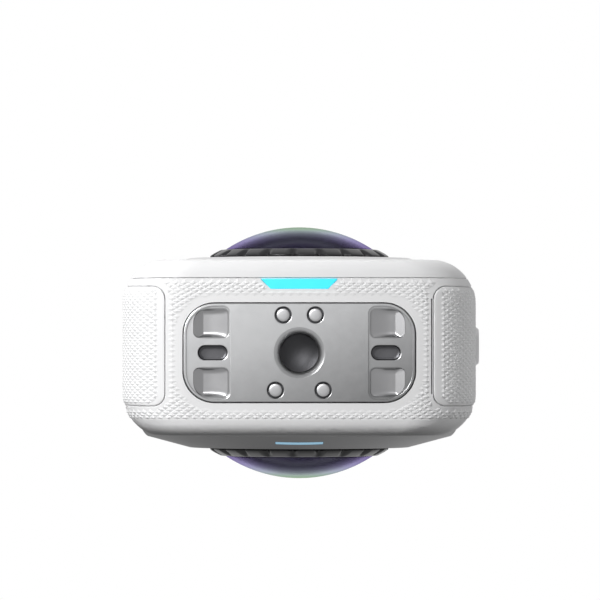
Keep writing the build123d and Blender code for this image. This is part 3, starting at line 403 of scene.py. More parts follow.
def body_surface(u, y, lift):
    """Points on the body's band. u runs along the outline from the middle of the base: flat, then a
    quarter arc, then straight up the side. y is the depth, and lift the height over the surface."""
    side = np.sign(u)
    s = np.abs(u)
    drawn = drawn_in(y)
    half, radius = HALF_WIDTH - drawn, BASE_CORNER - CORNER_SHRINK * drawn
    slope = np.where(y < 0, -y - FRONT_ARC, y - BACK_ARC).clip(0) / SIDE_ROUND
    on_flat = s < FLAT
    on_side = s > FLAT + QUARTER
    angle = ((s - FLAT) / BASE_CORNER).clip(0, quarter_turn)
    x = np.where(on_flat, s / FLAT * (half - radius), half - radius + radius * np.sin(angle))
    z = np.where(on_flat, BASE, BASE + radius - radius * np.cos(angle))
    z = np.where(on_side, z + (s - FLAT - QUARTER), z)
    # the outward direction leans to the front or back as the side turns in
    lean = slope * np.sin(angle)
    flatness = np.sqrt(1 - lean**2)
    nx, nz = np.sin(angle) * flatness, -np.cos(angle) * flatness
    ny = np.sign(y) * lean
    return np.stack([side * (x + lift * nx), y + lift * ny, z + lift * nz], -1)


def rounded_box_distance(u, y, u_span, y_span, corner):
    """Distance outside a rounded rectangle in the unrolled band; negative inside it."""
    cu, cy = (u_span[0] + u_span[1]) / 2, (y_span[0] + y_span[1]) / 2
    qu = np.abs(u - cu) - (u_span[1] - u_span[0]) / 2 + corner
    qy = np.abs(y - cy) - (y_span[1] - y_span[0]) / 2 + corner
    return np.hypot(qu.clip(0), qy.clip(0)) + np.minimum(np.maximum(qu, qy), 0) - corner


def grip_skin(name, body, u_span, y_span, room, fade=None):
    """A skin of low four-sided pyramids on a rhombic lattice. Even lattice points are the valleys'
    crossings and odd ones the peaks; every cell is cut along its valley. room(u, y) is the distance
    inside the part that carries the grip. Points near its edge are moved onto it, and cells outside
    are left out. fade(u, y) is the share of their full height that the pyramids have there."""
    i = np.arange(math.floor(u_span[0] / LATTICE_LONG), math.ceil(u_span[1] / LATTICE_LONG) + 1)
    j = np.arange(math.floor(y_span[0] / LATTICE_SHORT), math.ceil(y_span[1] / LATTICE_SHORT) + 1)
    gi, gj = np.meshgrid(i, j, indexing="ij")
    u = (gi * LATTICE_LONG).clip(*u_span)
    y = (gj * LATTICE_SHORT).clip(*y_span)
    inside = room(u, y)
    tiny = 1e-3
    slope_u = (room(u + tiny, y) - inside) / tiny
    slope_y = (room(u, y + tiny) - inside) / tiny
    length = np.hypot(slope_u, slope_y).clip(0.5)
    near = np.abs(inside) < 0.24
    shift = np.where(near, inside, 0)
    u = u - shift * slope_u / length**2
    y = y - shift * slope_y / length**2
    inside = np.where(near, 0, inside)
    peak = (gi + gj) % 2 != 0
    rise = (inside / 0.3).clip(0, 1) * (fade(u, y) if fade else 1.0)
    lift = np.where(peak, GRIP_HEIGHT * rise, 0) + np.where(inside > 0, 0.012, -0.02)
    points = body_surface(u, y, lift)
    n = len(j)
    a = (np.arange(len(i) - 1)[:, None] * n + np.arange(n - 1)[None, :])
    b, c, d = a + n, a + n + 1, a + 1
    even = ((gi + gj) % 2 == 0)[:-1, :-1]
    keep = np.minimum.reduce([inside[:-1, :-1], inside[1:, :-1], inside[1:, 1:], inside[:-1, 1:]]) >= -1e-6
    first = np.where(even[..., None], np.stack([a, b, c], -1), np.stack([a, b, d], -1))[keep]
    second = np.where(even[..., None], np.stack([a, c, d], -1), np.stack([b, c, d], -1))[keep]
    faces = np.vstack([first, second])
    used, faces = np.unique(faces, return_inverse=True)
    faces = faces.reshape(-1, 3)
    flat_points = points.reshape(-1, 3)[used]
    centre = flat_points[faces].mean(1)
    normal = np.cross(flat_points[faces[:, 1]] - flat_points[faces[:, 0]],
                      flat_points[faces[:, 2]] - flat_points[faces[:, 0]])
    below = np.minimum(centre[:, 2] - BASE_CORNER, 0)
    outward = np.stack([centre[:, 0], np.zeros(len(centre)), below], -1)
    if np.einsum("ij,ij->i", normal, outward).sum() < 0:
        faces = faces[:, ::-1]
    return make_piece(name, flat_points, faces, body, grip_white, smooth=False, closed=False)


def up_side(z):
    """Distance along the outline from the middle of the base, for a height on the side."""
    return FLAT + QUARTER + z - BASE - BASE_CORNER


DOOR_INNER = FLAT + BASE_CORNER * math.asin((DOOR_X - FLAT) / BASE_CORNER)
BATTERY_TOP, PORT_TOP = up_side(BATTERY_COVER_TOP), up_side(PORT_HINGE)
SIDE_END = up_side(GRIP_END)
DOOR_SPAN = DOOR_FRONT + 0.25, DOOR_BACK - 0.25
DOOR_FRAME = DOOR_FRONT - 0.28, DOOR_BACK + 0.28


def plate_room(u, y):
    """Distance outside the plate, with a margin."""
    return rounded_box_distance(u, y, (-15.75, 15.75), (-7.15, 7.15), 4.8)


def near_plate(u, y):
    """The grip dies away towards the plate."""
    share = (plate_room(u, y) / 1.1).clip(0, 1)
    return share * share * (3 - 2 * share)


def pill_room(u, y, height, long, wide, margin):
    """Distance outside an upright pill on the right side at a height."""
    s, half_long, half_wide = up_side(height), long / 2 + margin, wide / 2 + margin
    return rounded_box_distance(u, y, (s - half_long, s + half_long),
                                (SIDE_MIDDLE - half_wide, SIDE_MIDDLE + half_wide), half_wide - 0.02)


def housing_room(u, y):
    """Distance inside the housing's band, clear of all that is set into it."""
    band = np.minimum(y + PARTING - 0.12, RIM - y - 0.02)
    ends = SIDE_END - np.abs(u)
    left = rounded_box_distance(u, y, (-BATTERY_TOP - 0.4, -DOOR_INNER + 0.28), DOOR_FRAME, 1.85)
    right = rounded_box_distance(u, y, (DOOR_INNER - 0.45, PORT_TOP + 3.2), DOOR_FRAME, 1.85)
    light = np.maximum((np.abs(u) - 4.97 + 0.823 * (y - LIGHT_FRONT)) * 0.772, y - LIGHT_BACK) - 0.14
    openings = up_side(71.0)
    speaker = rounded_box_distance(u, y, (openings, up_side(77.6)), (-5.2, 1.2), 0.8)
    microphone = rounded_box_distance(u, y, (-openings - 2.0, -openings), (-1.9, 0.3), 0.9)
    pills = np.minimum(*(pill_room(u, y, height, BUTTON_LONG, BUTTON_WIDE, 0.6) for height in SIDE_BUTTONS))
    return np.minimum.reduce([band, ends, left, right, light, speaker, microphone, pills, plate_room(u, y)])


def battery_room(u, y):
    """Distance inside the battery cover, clear of its latch's well."""
    panel = -rounded_box_distance(u, y, (-BATTERY_TOP + 0.35, -DOOR_INNER - 0.95), DOOR_SPAN, 1.2)
    cap = pill_room(-u, y, 54.8, 11.6, 5.6, 0.5)
    return np.minimum(panel, cap)


def port_room(u, y):
    """Distance inside the port door, clear of its latch's travel."""
    panel = -rounded_box_distance(u, y, (DOOR_INNER + 0.95, PORT_TOP - 0.5), DOOR_SPAN, 1.2)
    cap = rounded_box_distance(u, y, (up_side(8.0), up_side(20.4)), (-4.2, 2.5), 3.0)
    return np.minimum(panel, cap)


grip_skin("housing_grip", "camera_body", (-SIDE_END, SIDE_END), (-PARTING + 0.12, RIM - 0.02),
          housing_room, near_plate)
grip_skin("battery_cover_grip", "battery", (-BATTERY_TOP, -DOOR_INNER), DOOR_SPAN, battery_room)
grip_skin("port_door_grip", "port_cover", (DOOR_INNER, PORT_TOP), DOOR_SPAN, port_room)


# Door gaps

def door_groove(name, side, top, closed):
    """A thin lip of the housing that stands in a door's gap, just under the surface. A small box section
    is carried along the door's outline on the band: down one edge, round the two corners on the base
    and up the other edge; a closed one also goes across the top. top is the height of its end."""
    high, low = DOOR_BACK - DOOR_ROUND, DOOR_FRONT + DOOR_ROUND
    peak = top - DOOR_ROUND if closed else top

    def base_place(x, y):
        """Place along the outline of a point of the base, where the quarter arc shrinks as it turns in."""
        drawn = drawn_in(y)
        radius = BASE_CORNER - CORNER_SHRINK * drawn
        return FLAT + BASE_CORNER * np.arcsin(((x - HALF_WIDTH + drawn + radius) / radius).clip(-1, 1))

    def side_place(z, y):
        return up_side(z) + CORNER_SHRINK * drawn_in(y)

    def line(grow, depth):
        r = DOOR_ROUND + grow
        corner = np.radians(np.linspace(0, 90, 13))
        sine, cosine = r * np.sin(corner), r * np.cos(corner)
        x = DOOR_X + DOOR_ROUND - np.concatenate([sine, np.full(25, r), cosine])
        y = np.concatenate([high + cosine, np.linspace(high, low, 25), low - sine])
        u = base_place(x, y)
        rear, front = np.full(39, y[0]), np.full(39, y[-1])
        share = np.linspace(0, 1, 40)[1:]
        rear_u = u[0] + share * (side_place(peak, rear) - u[0])
        front_u = u[-1] + share * (side_place(peak, front) - u[-1])
        u, y = np.concatenate([rear_u[::-1], u, front_u]), np.concatenate([rear, y, front])
        if closed:
            top_y = np.concatenate([low - cosine, high + sine])
            u = np.concatenate([u, side_place(peak + np.concatenate([sine, cosine]), top_y)])
            y = np.concatenate([y, top_y])
        angle = ((u - FLAT) / BASE_CORNER).clip(0, quarter_turn)
        inward = np.stack([-side * np.sin(angle), np.zeros(len(u)), np.cos(angle)], -1)
        return body_surface(side * u, y, 0) + depth * inward

    near, far, under, foot = 0.03, 0.17, 0.12, 0.6
    points = np.stack([line(near, under), line(far, under), line(far, foot), line(near, foot)], 1)
    n = len(points)
    faces = [quads(n, 4, closed, True)]
    if not closed:
        faces.append(np.array([[0, 3, 2, 1], [4 * n - 4, 4 * n - 3, 4 * n - 2, 4 * n - 1]]))
    make_piece(name, points, faces, "camera_body", shell_white, smooth=False)


door_groove("battery_cover_groove", -1, BATTERY_COVER_TOP, True)
door_groove("port_door_groove", 1, PORT_HINGE - 3.0, False)


# Eased edges

def skin_depth(points):
    """How deep points in millimetres lie under the body's outer surface."""
    x, y, z = np.abs(points[:, 0]), points[:, 1], points[:, 2]
    drawn = drawn_in(y)
    half, radius = HALF_WIDTH - drawn, BASE_CORNER - CORNER_SHRINK * drawn
    return radius - np.hypot((x - half + radius).clip(0), (BASE + radius - z).clip(0))


def eased(name, source, body, width, pick, reshape=None, segments=3):
    """A welded copy of a CAD piece. pick(points) chooses, by their middles, the sharp edges that are
    rounded; reshape(points) moves the points first. All in millimetres."""
    mesh = frame["nodes"][source].data.copy()
    mesh.name = name
    if reshape:
        flat = np.empty(len(mesh.vertices) * 3)
        mesh.vertices.foreach_get("co", flat)
        mesh.vertices.foreach_set("co", (reshape(flat.reshape(-1, 3) * 1000) * 0.001).ravel())
    work = bmesh.new()
    work.from_mesh(mesh)
    bmesh.ops.remove_doubles(work, verts=work.verts, dist=1e-6)
    bmesh.ops.dissolve_limit(work, angle_limit=math.radians(0.5), verts=work.verts, edges=work.edges)
    sharp = [e for e in work.edges if e.is_manifold and e.calc_face_angle() > math.radians(38)]
    middles = np.array([(e.verts[0].co + e.verts[1].co) * 500 for e in sharp])
    chosen = [e for e, wanted in zip(sharp, pick(middles)) if wanted]
    bmesh.ops.bevel(work, geom=chosen, offset=width * 0.001, offset_type="OFFSET", segments=segments,
                    profile=0.5, clamp_overlap=False, affect="EDGES")
    work.to_mesh(mesh)
    work.free()
    mesh.set_sharp_from_angle(angle=math.radians(36))
    mesh.polygons.foreach_set("use_smooth", np.ones(len(mesh.polygons), bool))
    piece = bpy.data.objects.new(name, mesh)
    bpy.context.scene.collection.objects.link(piece)
    weighted = piece.modifiers.new("weighted", "WEIGHTED_NORMAL")
    weighted.keep_sharp = True
    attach(piece, body)
    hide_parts(source)
    return piece


def on_skin(points):
    """The points on the body's outer surface."""
    return np.abs(skin_depth(points)) < 0.04


def door_edges(points):
    """The outline of a door or cover, on the body's surface."""
    return on_skin(points) & (points[:, 1] > -9.0) & (points[:, 1] < 7.4)


def cap_draft(side, low, high, drop_y, drop_z):
    """Draws a cap's sides in towards its outer face, as moulding draft. low and high are its corners."""
    low, high = np.array(low), np.array(high)

    def reshape(points):
        rise = ((side * points[:, 0] - low[0]) / (high[0] - low[0])).clip(0, 1)
        moved = points.copy()
        for axis, drop in ((1, drop_y), (2, drop_z)):
            middle, half = (low[axis] + high[axis]) / 2, (high[axis] - low[axis]) / 2
            moved[:, axis] = middle + (points[:, axis] - middle) * (1 - drop / half * rise)
        return moved
    return reshape


def cap_rim(low, high, drop_y, drop_z):
    """Picks the edge round a drafted cap's outer face, and not the edges of the ribs on it."""
    y_span, z_span = (low[1] + drop_y, high[1] - drop_y), (low[2] + drop_z, high[2] - drop_z)
    corner = (y_span[1] - y_span[0]) / 4 if high[2] - low[2] > 8 else (y_span[1] - y_span[0]) / 2 - 0.1

    def pick(points):
        away = rounded_box_distance(points[:, 2], points[:, 1], z_span, y_span, corner)
        return (np.abs(points[:, 0]) > 23.4) & (np.abs(away) < 0.09)
    return pick


def light_to_seam(points):
    """The front light reaches from the parting groove to its lower edge, a hair proud of the base."""
    moved = points.copy()
    y, z = points[:, 1], points[:, 2]
    moved[:, 1] = np.where(y < -9.2, LIGHT_FRONT, np.where(y > -8.5, LIGHT_BACK, y))
    moved[:, 2] = np.where(z < 0.4, z - 0.02, z)
    return moved


eased("front_light_lens", "front_status_light", "camera_body", 0.05,
      lambda points: points[:, 2] < 0.2, light_to_seam)
eased("battery_cover_eased", "battery_cover", "battery", 0.2, door_edges)
eased("port_door_eased", "port_door", "port_cover", 0.2, door_edges)
for side, latch, body, slot, low, high in (
        (1, "port_latch", "port_catch", "button_white", (22.95, -3.5, 11.0), (23.55, 1.8, 19.7)),
        (-1, "battery_latch", "battery_catch", "grey_plastic", (22.9, -3.475, 50.0), (23.55, 1.825, 57.4))):
    cap = low, high, 0.4, 0.3
    eased(f"{latch}_eased", latch, body, 0.09, cap_rim(*cap), cap_draft(side, *cap))


# Lenses

def lens_ring(side, name):
    """The knurled guard ring. A closed outline in radius and depth goes round the lens axis; its
    outer points step inwards in narrow dips, twenty to a turn, between broad rounded lobes."""
    outer = [(12.72, 14.0), (13.0, 14.0), (13.17, 14.08), (13.25, 14.22), (13.16, 14.36),
             (12.6, 14.72), (12.0, 15.02), (11.72, 15.16), (11.55, 15.2)]
    inner = [(11.42, 15.2), (11.26, 15.19), (11.12, 15.13), (11.06, 15.04), (11.05, 14.6), (11.05, 14.25),
             (9.95, 14.25), (9.6, 14.2), (9.55, 14.1), (9.55, 11.8), (9.6, 11.7), (10.5, 11.7), (10.58, 11.8),
             (10.58, 13.96), (12.0, 13.98)]
    profile = np.array(outer + inner)
    steps = 720
    angle = np.linspace(0, turn, steps, endpoint=False)
    phase = (angle * 20 / turn) % 1
    # one dip in each lobe's width, eased at both ends by a cosine
    dip = 0.5 + 0.5 * np.cos((np.abs(phase - 0.75) / 0.25).clip(0, 1) * math.pi)
    crown = -0.025 * np.cos((phase - 0.31) * turn)
    depth_share = np.zeros(len(profile))
    depth_share[: len(outer)] = np.array([0.9, 1, 1, 1, 1, 0.62, 0.2, 0.03, 0])
    r = profile[:, 0][:, None] - depth_share[:, None] * (dip + 0.04 + crown)[None, :]
    d = np.repeat(profile[:, 1][:, None], steps, 1)
    points = np.stack([r * np.cos(angle), side * d, LENS_HEIGHT + r * np.sin(angle)], -1)
    ring = make_piece(f"{name}_knurled_ring", points, quads(len(profile), steps, True, True),
                      f"{name}_guard", lens_black)
    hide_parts(f"{name}_lens_ring")


def guard_dome(side, name):
    """The dome: two spherical caps, 1.2 apart, joined by a straight band at the rim."""
    rise, radius = 3.36, 11.0
    sphere = (radius**2 + rise**2) / (2 * rise)
    centre = 18.56 - sphere
    foot = 14.3
    outer_half = math.degrees(math.asin(radius / sphere))
    inner_sphere = sphere - 1.2
    rim = math.sqrt(inner_sphere**2 - (foot - centre) ** 2)
    inner_half = math.degrees(math.asin(rim / inner_sphere))
    outer = arc_points((0, centre), sphere, 90, 90 - outer_half, 40)
    band = np.array([(radius, 14.9), (radius, 14.4), (radius - 0.1, foot)])
    inner = arc_points((0, centre), inner_sphere, 90 - inner_half, 90, 40)
    profile = np.vstack([outer, band, inner])
    profile[0, 0] = profile[-1, 0] = 0
    points, faces = turned_solid(profile, side)
    dome = make_piece(f"{name}_guard_dome", points, faces, f"{name}_guard", guard_glass)
    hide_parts(f"{name}_lens_dome")


def front_element(side, name):
    """The bulging front element with a ground edge."""
    half = math.degrees(math.asin(ELEMENT_RADIUS / ELEMENT_SPHERE))
    cap = arc_points((0, ELEMENT_TOP - ELEMENT_SPHERE), ELEMENT_SPHERE, 90, 90 - half, 40)
    rim = cap[-1, 1]
    ground = (ELEMENT_RADIUS, rim - 0.1), (ELEMENT_RADIUS - 0.05, rim - 0.6), (0, rim - 0.6)
    profile = np.vstack([cap, ground])
    profile[0, 0] = 0
    points, faces = turned_solid(profile, side)
    element = make_piece(f"{name}_front_element", points, faces, "camera_body", eye_glass)
    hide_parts(f"{name}_fisheye_element")


def lens_block(side, name):
    """The barrel with a stepped light baffle: each step is a rounded tread and a short riser."""
    rim = ELEMENT_TOP - ELEMENT_SPHERE + math.sqrt(ELEMENT_SPHERE**2 - ELEMENT_RADIUS**2)
    foot, stem, wide = 3.5, 7.4, 9.3
    profile = [(0, foot), (stem, foot), (stem, rim - 4.4), (wide - 0.1, rim - 4.4), (wide, rim - 4.3)]
    for k in range(3):
        r = wide - k * 0.34
        d = rim - 0.95 + k * 0.24
        profile += [(r, d - 0.2), (r, d), (r - 0.05, d + 0.05), (r - 0.28, d + 0.05)]
    profile += [(8.28, rim - 0.35), (8.26, rim - 0.65), (0, rim - 0.65)]
    points, faces = turned_solid(profile, side)
    block = make_piece(f"{name}_baffled_barrel", points, faces, "camera_body", lens_black)
    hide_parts(f"{name}_lens_barrel")


for side, name in ((-1, "front"), (1, "rear")):
    lens_ring(side, name)
    guard_dome(side, name)
    front_element(side, name)
    lens_block(side, name)


# Tripod plate

def box_loop(x_span, y_span, corners, grow, z, count=12):
    """A rounded rectangle's outline at a height, grown outwards; corners are the four radii, from the
    one at high x and high y onwards, anticlockwise. Each corner is a quarter arc."""
    x0, x1, y0, y1 = x_span[0] - grow, x_span[1] + grow, y_span[0] - grow, y_span[1] + grow
    places = ((x1, y1, -1, -1, 0), (x0, y1, 1, -1, 90), (x0, y0, 1, 1, 180), (x1, y0, -1, 1, 270))
    rows = []
    for (x, y, sx, sy, start), radius in zip(places, corners):
        r = radius + grow
        a = np.radians(start + np.linspace(0, 90, count))
        rows.append(np.stack([x + sx * r + r * np.cos(a), y + sy * r + r * np.sin(a)], -1))
    flat = np.vstack(rows)
    return np.column_stack([flat, np.full(len(flat), z)])


def circle_loop(x, y, radius, z, count=96):
    """A circle's outline at a height."""
    a = np.linspace(0, turn, count, endpoint=False)
    return np.stack([x + radius * np.cos(a), y + radius * np.sin(a), np.full(count, z)], -1)


class Skin:
    """Gathers bands between loops and flat faces between loops, then welds equal points."""

    def __init__(self):
        self.points, self.faces, self.marks, self.curved, self.total = [], [], [], [], 0

    def add(self, points, faces, mark=0, curved=True):
        self.points.append(points)
        self.faces += [[int(c) + self.total for c in row] for row in faces]
        self.marks += [mark] * len(faces)
        self.curved += [curved] * len(faces)
        self.total += len(points)

    def bands(self, loops, mark=0):
        """A profile carried along a loop: each loop is joined to the next by a row of quads."""
        self.add(np.vstack(loops), quads(len(loops), len(loops[0]), ring_cols=True), mark)

    def flat(self, outer, *holes, mark=0):
        """A flat face inside one loop and outside others."""
        loops = [[Vector(p) for p in loop] for loop in (outer, *holes)]
        corners = tessellate_polygon(loops)
        self.add(np.vstack([outer, *holes]), corners, mark, False)

    def piece(self, name, body, slot, materials, sharp_deg=32):
        points = np.vstack(self.points)
        _, first, same = np.unique(np.round(points, 5), axis=0, return_index=True, return_inverse=True)
        same = same.reshape(-1)
        rows, marks, curved = [], [], []
        for row, mark, bent in zip(self.faces, self.marks, self.curved):
            row = [int(same[c]) for c in row]
            row = [c for k, c in enumerate(row) if c != row[k - 1]]
            if len(set(row)) > 2:
                rows.append(row)
                marks.append(mark)
                curved.append(bent)
        mesh = bpy.data.meshes.new(name)
        mesh.from_pydata((points[first] * 0.001).tolist(), [], rows)
        work = bmesh.new()
        work.from_mesh(mesh)
        bmesh.ops.recalc_face_normals(work, faces=work.faces)
        work.to_mesh(mesh)
        work.free()
        mesh.set_sharp_from_angle(angle=math.radians(sharp_deg))
        mesh.polygons.foreach_set("use_smooth", np.array(curved))
        for material in materials:
            mesh.materials.append(material)
        mesh.polygons.foreach_set("material_index", marks)
        made = bpy.data.objects.new(name, mesh)
        bpy.context.scene.collection.objects.link(made)
        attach(made, body)
        return made


def edge_loops(loop, top, bottom, soft=0.07):
    """The loops of a cut's wall: a softened edge at the top, then straight down to the floor.
    loop(grow, z) gives the cut's outline."""
    return [loop(soft, top), loop(soft * 0.3, top + soft * 0.3), loop(0, top + soft), loop(0, bottom)]


def end_draw(away, radius):
    """How far a rounded corner has drawn an edge in, at a distance from the end."""
    return radius - np.sqrt(radius**2 - (radius - away).clip(0, radius) ** 2)


def swell(away, reach):
    """A smooth rise from 0 at a wall to 1 at the reach: a quarter of a sine."""
    return np.sin((away / reach).clip(0, 1) * quarter_turn)


def pocket(skin, side, half):
    """A pocket with a chamfered mouth. Its floor curves up a little towards the walls, as a quarter
    sine, and at the outer end it rises as a ramp. The floor is a grid whose columns span the outline."""
    inner, outer, ramp = 9.22, 13.6, 1.2
    low, high = 2.05, 5.6
    tight, wide, chamfer = 0.6, 1.8, 0.2
    swing = 1 - np.cos(np.linspace(0, quarter_turn, 9))
    x = np.unique(np.round(np.concatenate([inner + tight * swing, outer - tight * swing, outer - wide * swing,
                                           [outer - ramp], np.linspace(inner, outer, 25)]), 4))
    bottom = low + end_draw(x - inner, tight) + end_draw(outer - x, tight)
    top = high - end_draw(x - inner, tight) - end_draw(outer - x, wide)
    share = (0.5 - 0.5 * np.cos(np.linspace(0, math.pi, 21)))[None, :]
    y = bottom[:, None] * (1 - share) + top[:, None] * share
    xs = np.repeat(x[:, None], y.shape[1], 1)
    bowl = swell(xs - inner, 2.6) * swell(y - low, 0.5) * swell(high - y, 0.5)
    rise = 0.34 + 0.66 * ((outer - xs) / ramp).clip(0, 1)
    depth = LAND + chamfer + (POCKET - chamfer) * np.minimum(0.66 + 0.34 * bowl, rise)
    floor = np.stack([side * xs, half * y, depth], -1)
    # the floor takes the third material, painted shade
    skin.add(floor.reshape(-1, 3), quads(len(x), y.shape[1]), 2)
    ring = np.concatenate([floor[:, 0], floor[-1, 1:], floor[-2::-1, -1], floor[0, -2:0:-1]])
    along = np.roll(ring, -1, 0) - np.roll(ring, 1, 0)
    out = np.stack([along[:, 1], -along[:, 0]], -1)
    out /= np.linalg.norm(out, axis=1)[:, None]
    centre = np.array([side * (inner + outer) / 2, half * (low + high) / 2])
    if np.einsum("ij,ij->i", out, ring[:, :2] - centre).sum() < 0:
        out = -out
    ease = chamfer * (1 - 0.85 * ((np.abs(ring[:, 0]) - outer + ramp) / ramp).clip(0, 1))
    lip, middle, mouth = ring.copy(), ring.copy(), ring.copy()
    lip[:, 2] = LAND + chamfer
    middle[:, :2] += out * (ease * 0.85)[:, None]
    middle[:, 2] = LAND + 0.03
    mouth[:, :2] += out * (ease + 0.03)[:, None]
    mouth[:, 2] = LAND
    skin.bands([mouth, middle, lip, ring])
    return mouth


def tripod_plate():
    """The machined plate: rim, recessed lands with pockets and slots, thread and stud holes."""
    skin = Skin()

    def rim(grow, z):
        return box_loop((-PLATE_HALF_LONG, PLATE_HALF_LONG), (-PLATE_HALF_WIDE, PLATE_HALF_WIDE),
                        (PLATE_CORNER,) * 4, grow, z, 20)

    outside = [rim(-0.10, 0), rim(-0.03, 0.03), rim(0, 0.10), rim(0, PLATE_THICK)]
    skin.bands(outside)
    holes = []
    for side in (-1, 1):
        span = sorted((side * 8.9, side * (PLATE_HALF_LONG - 0.35)))
        wide, tight = 3.65, 1.0
        corners = (wide, tight, tight, wide) if side > 0 else (tight, wide, wide, tight)

        def land(grow, z):
            return box_loop(span, (-6.0, 6.0), corners, grow, z, 14)

        walls = edge_loops(land, 0, LAND)
        skin.bands(walls)
        holes.append(walls[0])
        cuts = [pocket(skin, side, half) for half in (-1, 1)]
        slot_span = sorted((side * 9.25, side * 13.05))

        def slot(grow, z):
            return box_loop(slot_span, (-0.95, 0.95), (0.93,) * 4, grow, z, 12)

        walls_slot = edge_loops(slot, LAND, LAND + 0.35, 0.1)
        skin.bands(walls_slot)
        floor = [slot(0, LAND + 0.35), slot(0, LAND + 1.1), slot(-0.12, LAND + 1.3), slot(-0.35, LAND + 1.4)]
        # the slot's floor takes the second material, painted shade
        skin.bands(floor, 1)
        skin.flat(floor[-1], mark=1)
        skin.flat(walls[-1], *cuts, walls_slot[0])
    for x, y in STUDS:
        def ring(grow, z):
            return circle_loop(x, y, 1.1 + grow, z, 48)

        well = edge_loops(ring, 0, 0.8, 0.06)
        skin.bands(well, 0)
        # the well's floor takes the second material, painted shade
        skin.flat(well[-1], mark=1)
        holes.append(well[0])
    # mouth, thread and bottom of the hole
    mouth = [circle_loop(0, 0, 3.30, 0), circle_loop(0, 0, 3.245, 0.02), circle_loop(0, 0, BORE + 0.05, 0.68),
             circle_loop(0, 0, BORE, THREAD_START)]
    skin.bands(mouth)
    holes.append(mouth[0])
    skin.flat(outside[0], *holes)
    # the thread: a V groove outside the bore's radius, whose place goes round once per pitch
    rows, cols = 93, 96
    z = np.linspace(THREAD_START, THREAD_END, rows)[:, None]
    a = np.linspace(0, turn, cols, endpoint=False)[None, :]
    phase = (z / PITCH - a / turn) % 1
    groove = (1 - np.abs(phase - 0.5) / 0.42).clip(0, 1)
    ease = ((z - THREAD_START) / 0.5).clip(0, 1) * ((THREAD_END - z) / 0.5).clip(0, 1)
    r = BORE + 0.58 * groove * ease
    grid = np.stack(np.broadcast_arrays(r * np.cos(a), r * np.sin(a), z), -1)
    # the thread and the tip below it take the second material, painted shade
    skin.add(grid.reshape(-1, 3), quads(rows, cols, ring_cols=True), 1)
    r = np.linspace(BORE, 0.02, 12)
    tip = [circle_loop(0, 0, value, THREAD_END + 0.55 * (1 - (value / BORE) ** 2)) for value in r]
    skin.bands(tip, 1)
    skin.flat(tip[-1], mark=1)
    # back, with the boss that carries the thread
    boss = [circle_loop(0, 0, 5.5, PLATE_THICK), circle_loop(0, 0, 5.5, 6.9), circle_loop(0, 0, 5.4, 7.0)]
    skin.flat(outside[-1], boss[0])
    skin.bands(boss)
    skin.flat(boss[-1])
    # the second material paints shade in the holes, the third in the pockets
    made = skin.piece("machined_plate", "camera_body", "plate_metal", (plate_satin_painted_light, bore_painted_shade, pocket_painted_shade))
    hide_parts("mount_plate")


def plate_studs():
    """Four round steel studs, each slightly crowned with a rolled edge, standing in its well."""
    skin = Skin()
    profile = ((0.05, 0.02), (0.52, 0.024), (0.72, 0.04), (0.81, 0.075), (0.865, 0.15), (0.885, 0.26),
               (0.89, 0.75))
    for x, y in STUDS:
        rows = [circle_loop(x, y, r, z, 48) for r, z in profile]
        skin.flat(rows[0])
        skin.bands(rows)
        skin.flat(rows[-1])
    made = skin.piece("plate_studs", "camera_body", "magnet_steel", (stud_steel,))
    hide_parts("mount_plate_magnets")


tripod_plate()
plate_studs()


# Floor, light and camera

def stage_floor():
    """A wide square floor, which fades to white away from the camera. It shows from above only: rays
    from below it and rays that carry light to the base pass through, as on a glass table."""
    half = 3.0
    corners = (-half, -half, 0), (half, -half, 0), (half, half, 0), (-half, half, 0)
    mesh = bpy.data.meshes.new("floor")
    mesh.from_pydata(corners, [], [(0, 1, 2, 3)])
    floor = bpy.data.objects.new("floor", mesh)
    bpy.context.scene.collection.objects.link(floor)
    material, tree, shader = finish("floor_pale", (0.86, 0.86, 0.86), 0.9)
    link = tree.links.new
    mottle(tree, shader, 6, (0.85, 0.85, 0.85), (0.87, 0.87, 0.87))
    place = node(tree, "ShaderNodeTexCoord")
    away = node(tree, "ShaderNodeVectorMath", operation="LENGTH")
    link(place.outputs["Object"], away.inputs[0])
    fade = node(tree, "ShaderNodeMapRange", interpolation_type="SMOOTHSTEP", From_Min=0.10, From_Max=0.45)
    link(away.outputs["Value"], fade.inputs["Value"])
    white_far = node(tree, "ShaderNodeEmission", Strength=1.0)
    pale = mixed(tree, fade.outputs["Result"], shader, white_far)
    clear = node(tree, "ShaderNodeBsdfTransparent")
    path = node(tree, "ShaderNodeLightPath")
    geometry = node(tree, "ShaderNodeNewGeometry")
    above = combined(tree, "SUBTRACT", 1.0, geometry.outputs["Backfacing"])
    seen = combined(tree, "MAXIMUM", path.outputs["Is Camera Ray"], path.outputs["Is Transmission Ray"])
    blend = mixed(tree, combined(tree, "MULTIPLY", above, seen), clear, pale)
    link(blend.outputs[0], tree.nodes["Material Output"].inputs["Surface"])
    mesh.materials.append(material)


def soft_surround(fill):
    """White for what the camera, gloss and glass see, and an even soft fill for everything else."""
    world = bpy.data.worlds.new("surround")
    bpy.context.scene.world = world
    world.use_nodes = True
    tree = world.node_tree
    background = tree.nodes["Background"]
    background.inputs["Color"].default_value = (1, 1, 1, 1)
    path = node(tree, "ShaderNodeLightPath")
    seen = combined(tree, "MAXIMUM", path.outputs["Is Camera Ray"], path.outputs["Is Transmission Ray"])
    bright = combined(tree, "MAXIMUM", seen, path.outputs["Is Glossy Ray"])
    strength = node(tree, "ShaderNodeMapRange", To_Min=fill, To_Max=1.0)
    tree.links.new(bright, strength.inputs["Value"])
    tree.links.new(strength.outputs["Result"], background.inputs["Strength"])


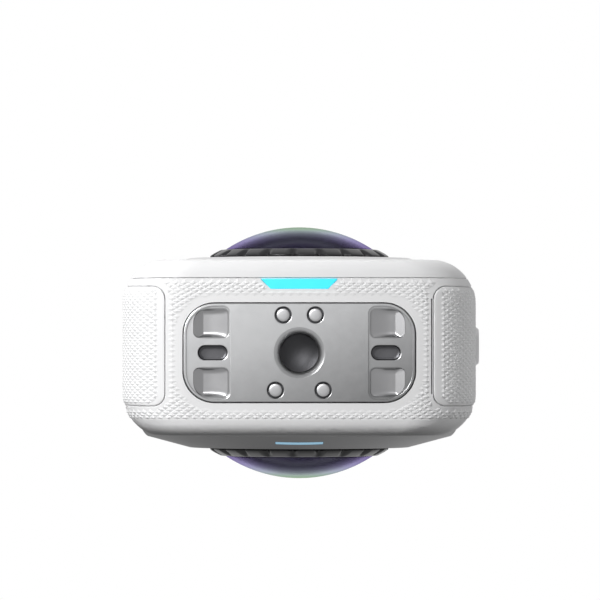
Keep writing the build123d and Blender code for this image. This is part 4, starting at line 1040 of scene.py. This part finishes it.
def soft_lamp(name, place, target, size, watts, gloss=True, diffuse=True):
    """A square area lamp aimed at a point; place and target in metres. One without gloss lights the
    surfaces and leaves no highlight, and one without diffuse is a card that only shows as gloss."""
    lamp = bpy.data.lights.new(name, "AREA")
    lamp.shape = "SQUARE"
    lamp.size = size
    lamp.energy = watts
    made = bpy.data.objects.new(name, lamp)
    made.visible_glossy, made.visible_diffuse = gloss, diffuse
    made.visible_transmission = False
    aim = (Vector(target) - Vector(place)).to_track_quat("-Z", "Y")
    made.matrix_world = Matrix.Translation(place) @ aim.to_matrix().to_4x4()
    bpy.context.scene.collection.objects.link(made)


def base_camera():
    """Straight below the base, 600 mm away, with the front of the object up in the picture. It is
    aimed a little off the axis, so that the object stands where it does in the photograph."""
    lens = bpy.data.cameras.new("base_camera")
    distance, focal_pixels, picture_width = 0.600, 4666, 600
    lens.sensor_width = 36.0
    lens.lens = focal_pixels / picture_width * lens.sensor_width
    lens.clip_start, lens.clip_end = 0.01, 50.0
    camera = bpy.data.objects.new("base_camera", lens)
    place = Vector((0, 0, -distance))
    forward = (Vector((0.00009, -0.00678, 0)) - place).normalized()
    right = forward.cross(Vector((0, -1, 0))).normalized()
    up = right.cross(forward)
    turned = Matrix((right, up, -forward)).transposed().to_4x4()
    camera.matrix_world = Matrix.Translation(place) @ turned
    bpy.context.scene.collection.objects.link(camera)
    bpy.context.scene.camera = camera


bpy.context.scene.view_settings.view_transform = "Standard"
stage_floor()
soft_surround(0.12)
soft_lamp("key_below_left", (-0.108, -0.078, -0.118), (0, 0, 0), 0.06, 0.375)
soft_lamp("gloss_card", (-0.035, -0.055, -0.150), (0, 0, 0), 0.03, 0.10, diffuse=False)
soft_lamp("low_gloss_card", (-0.150, -0.020, -0.125), (0, 0, 0), 0.05, 0.015, diffuse=False)
soft_lamp("side_right", (0.20, -0.04, -0.035), (0, 0, 0.01), 0.08, 0.135, gloss=False)
soft_lamp("key_above", (-0.40, -0.85, 0.60), (0, 0, 0.06), 0.5, 7.0, gloss=False)
soft_lamp("rear_above", (0.14, 0.33, 1.20), (0, 0, 0.06), 0.25, 12.5, gloss=False)
base_camera()
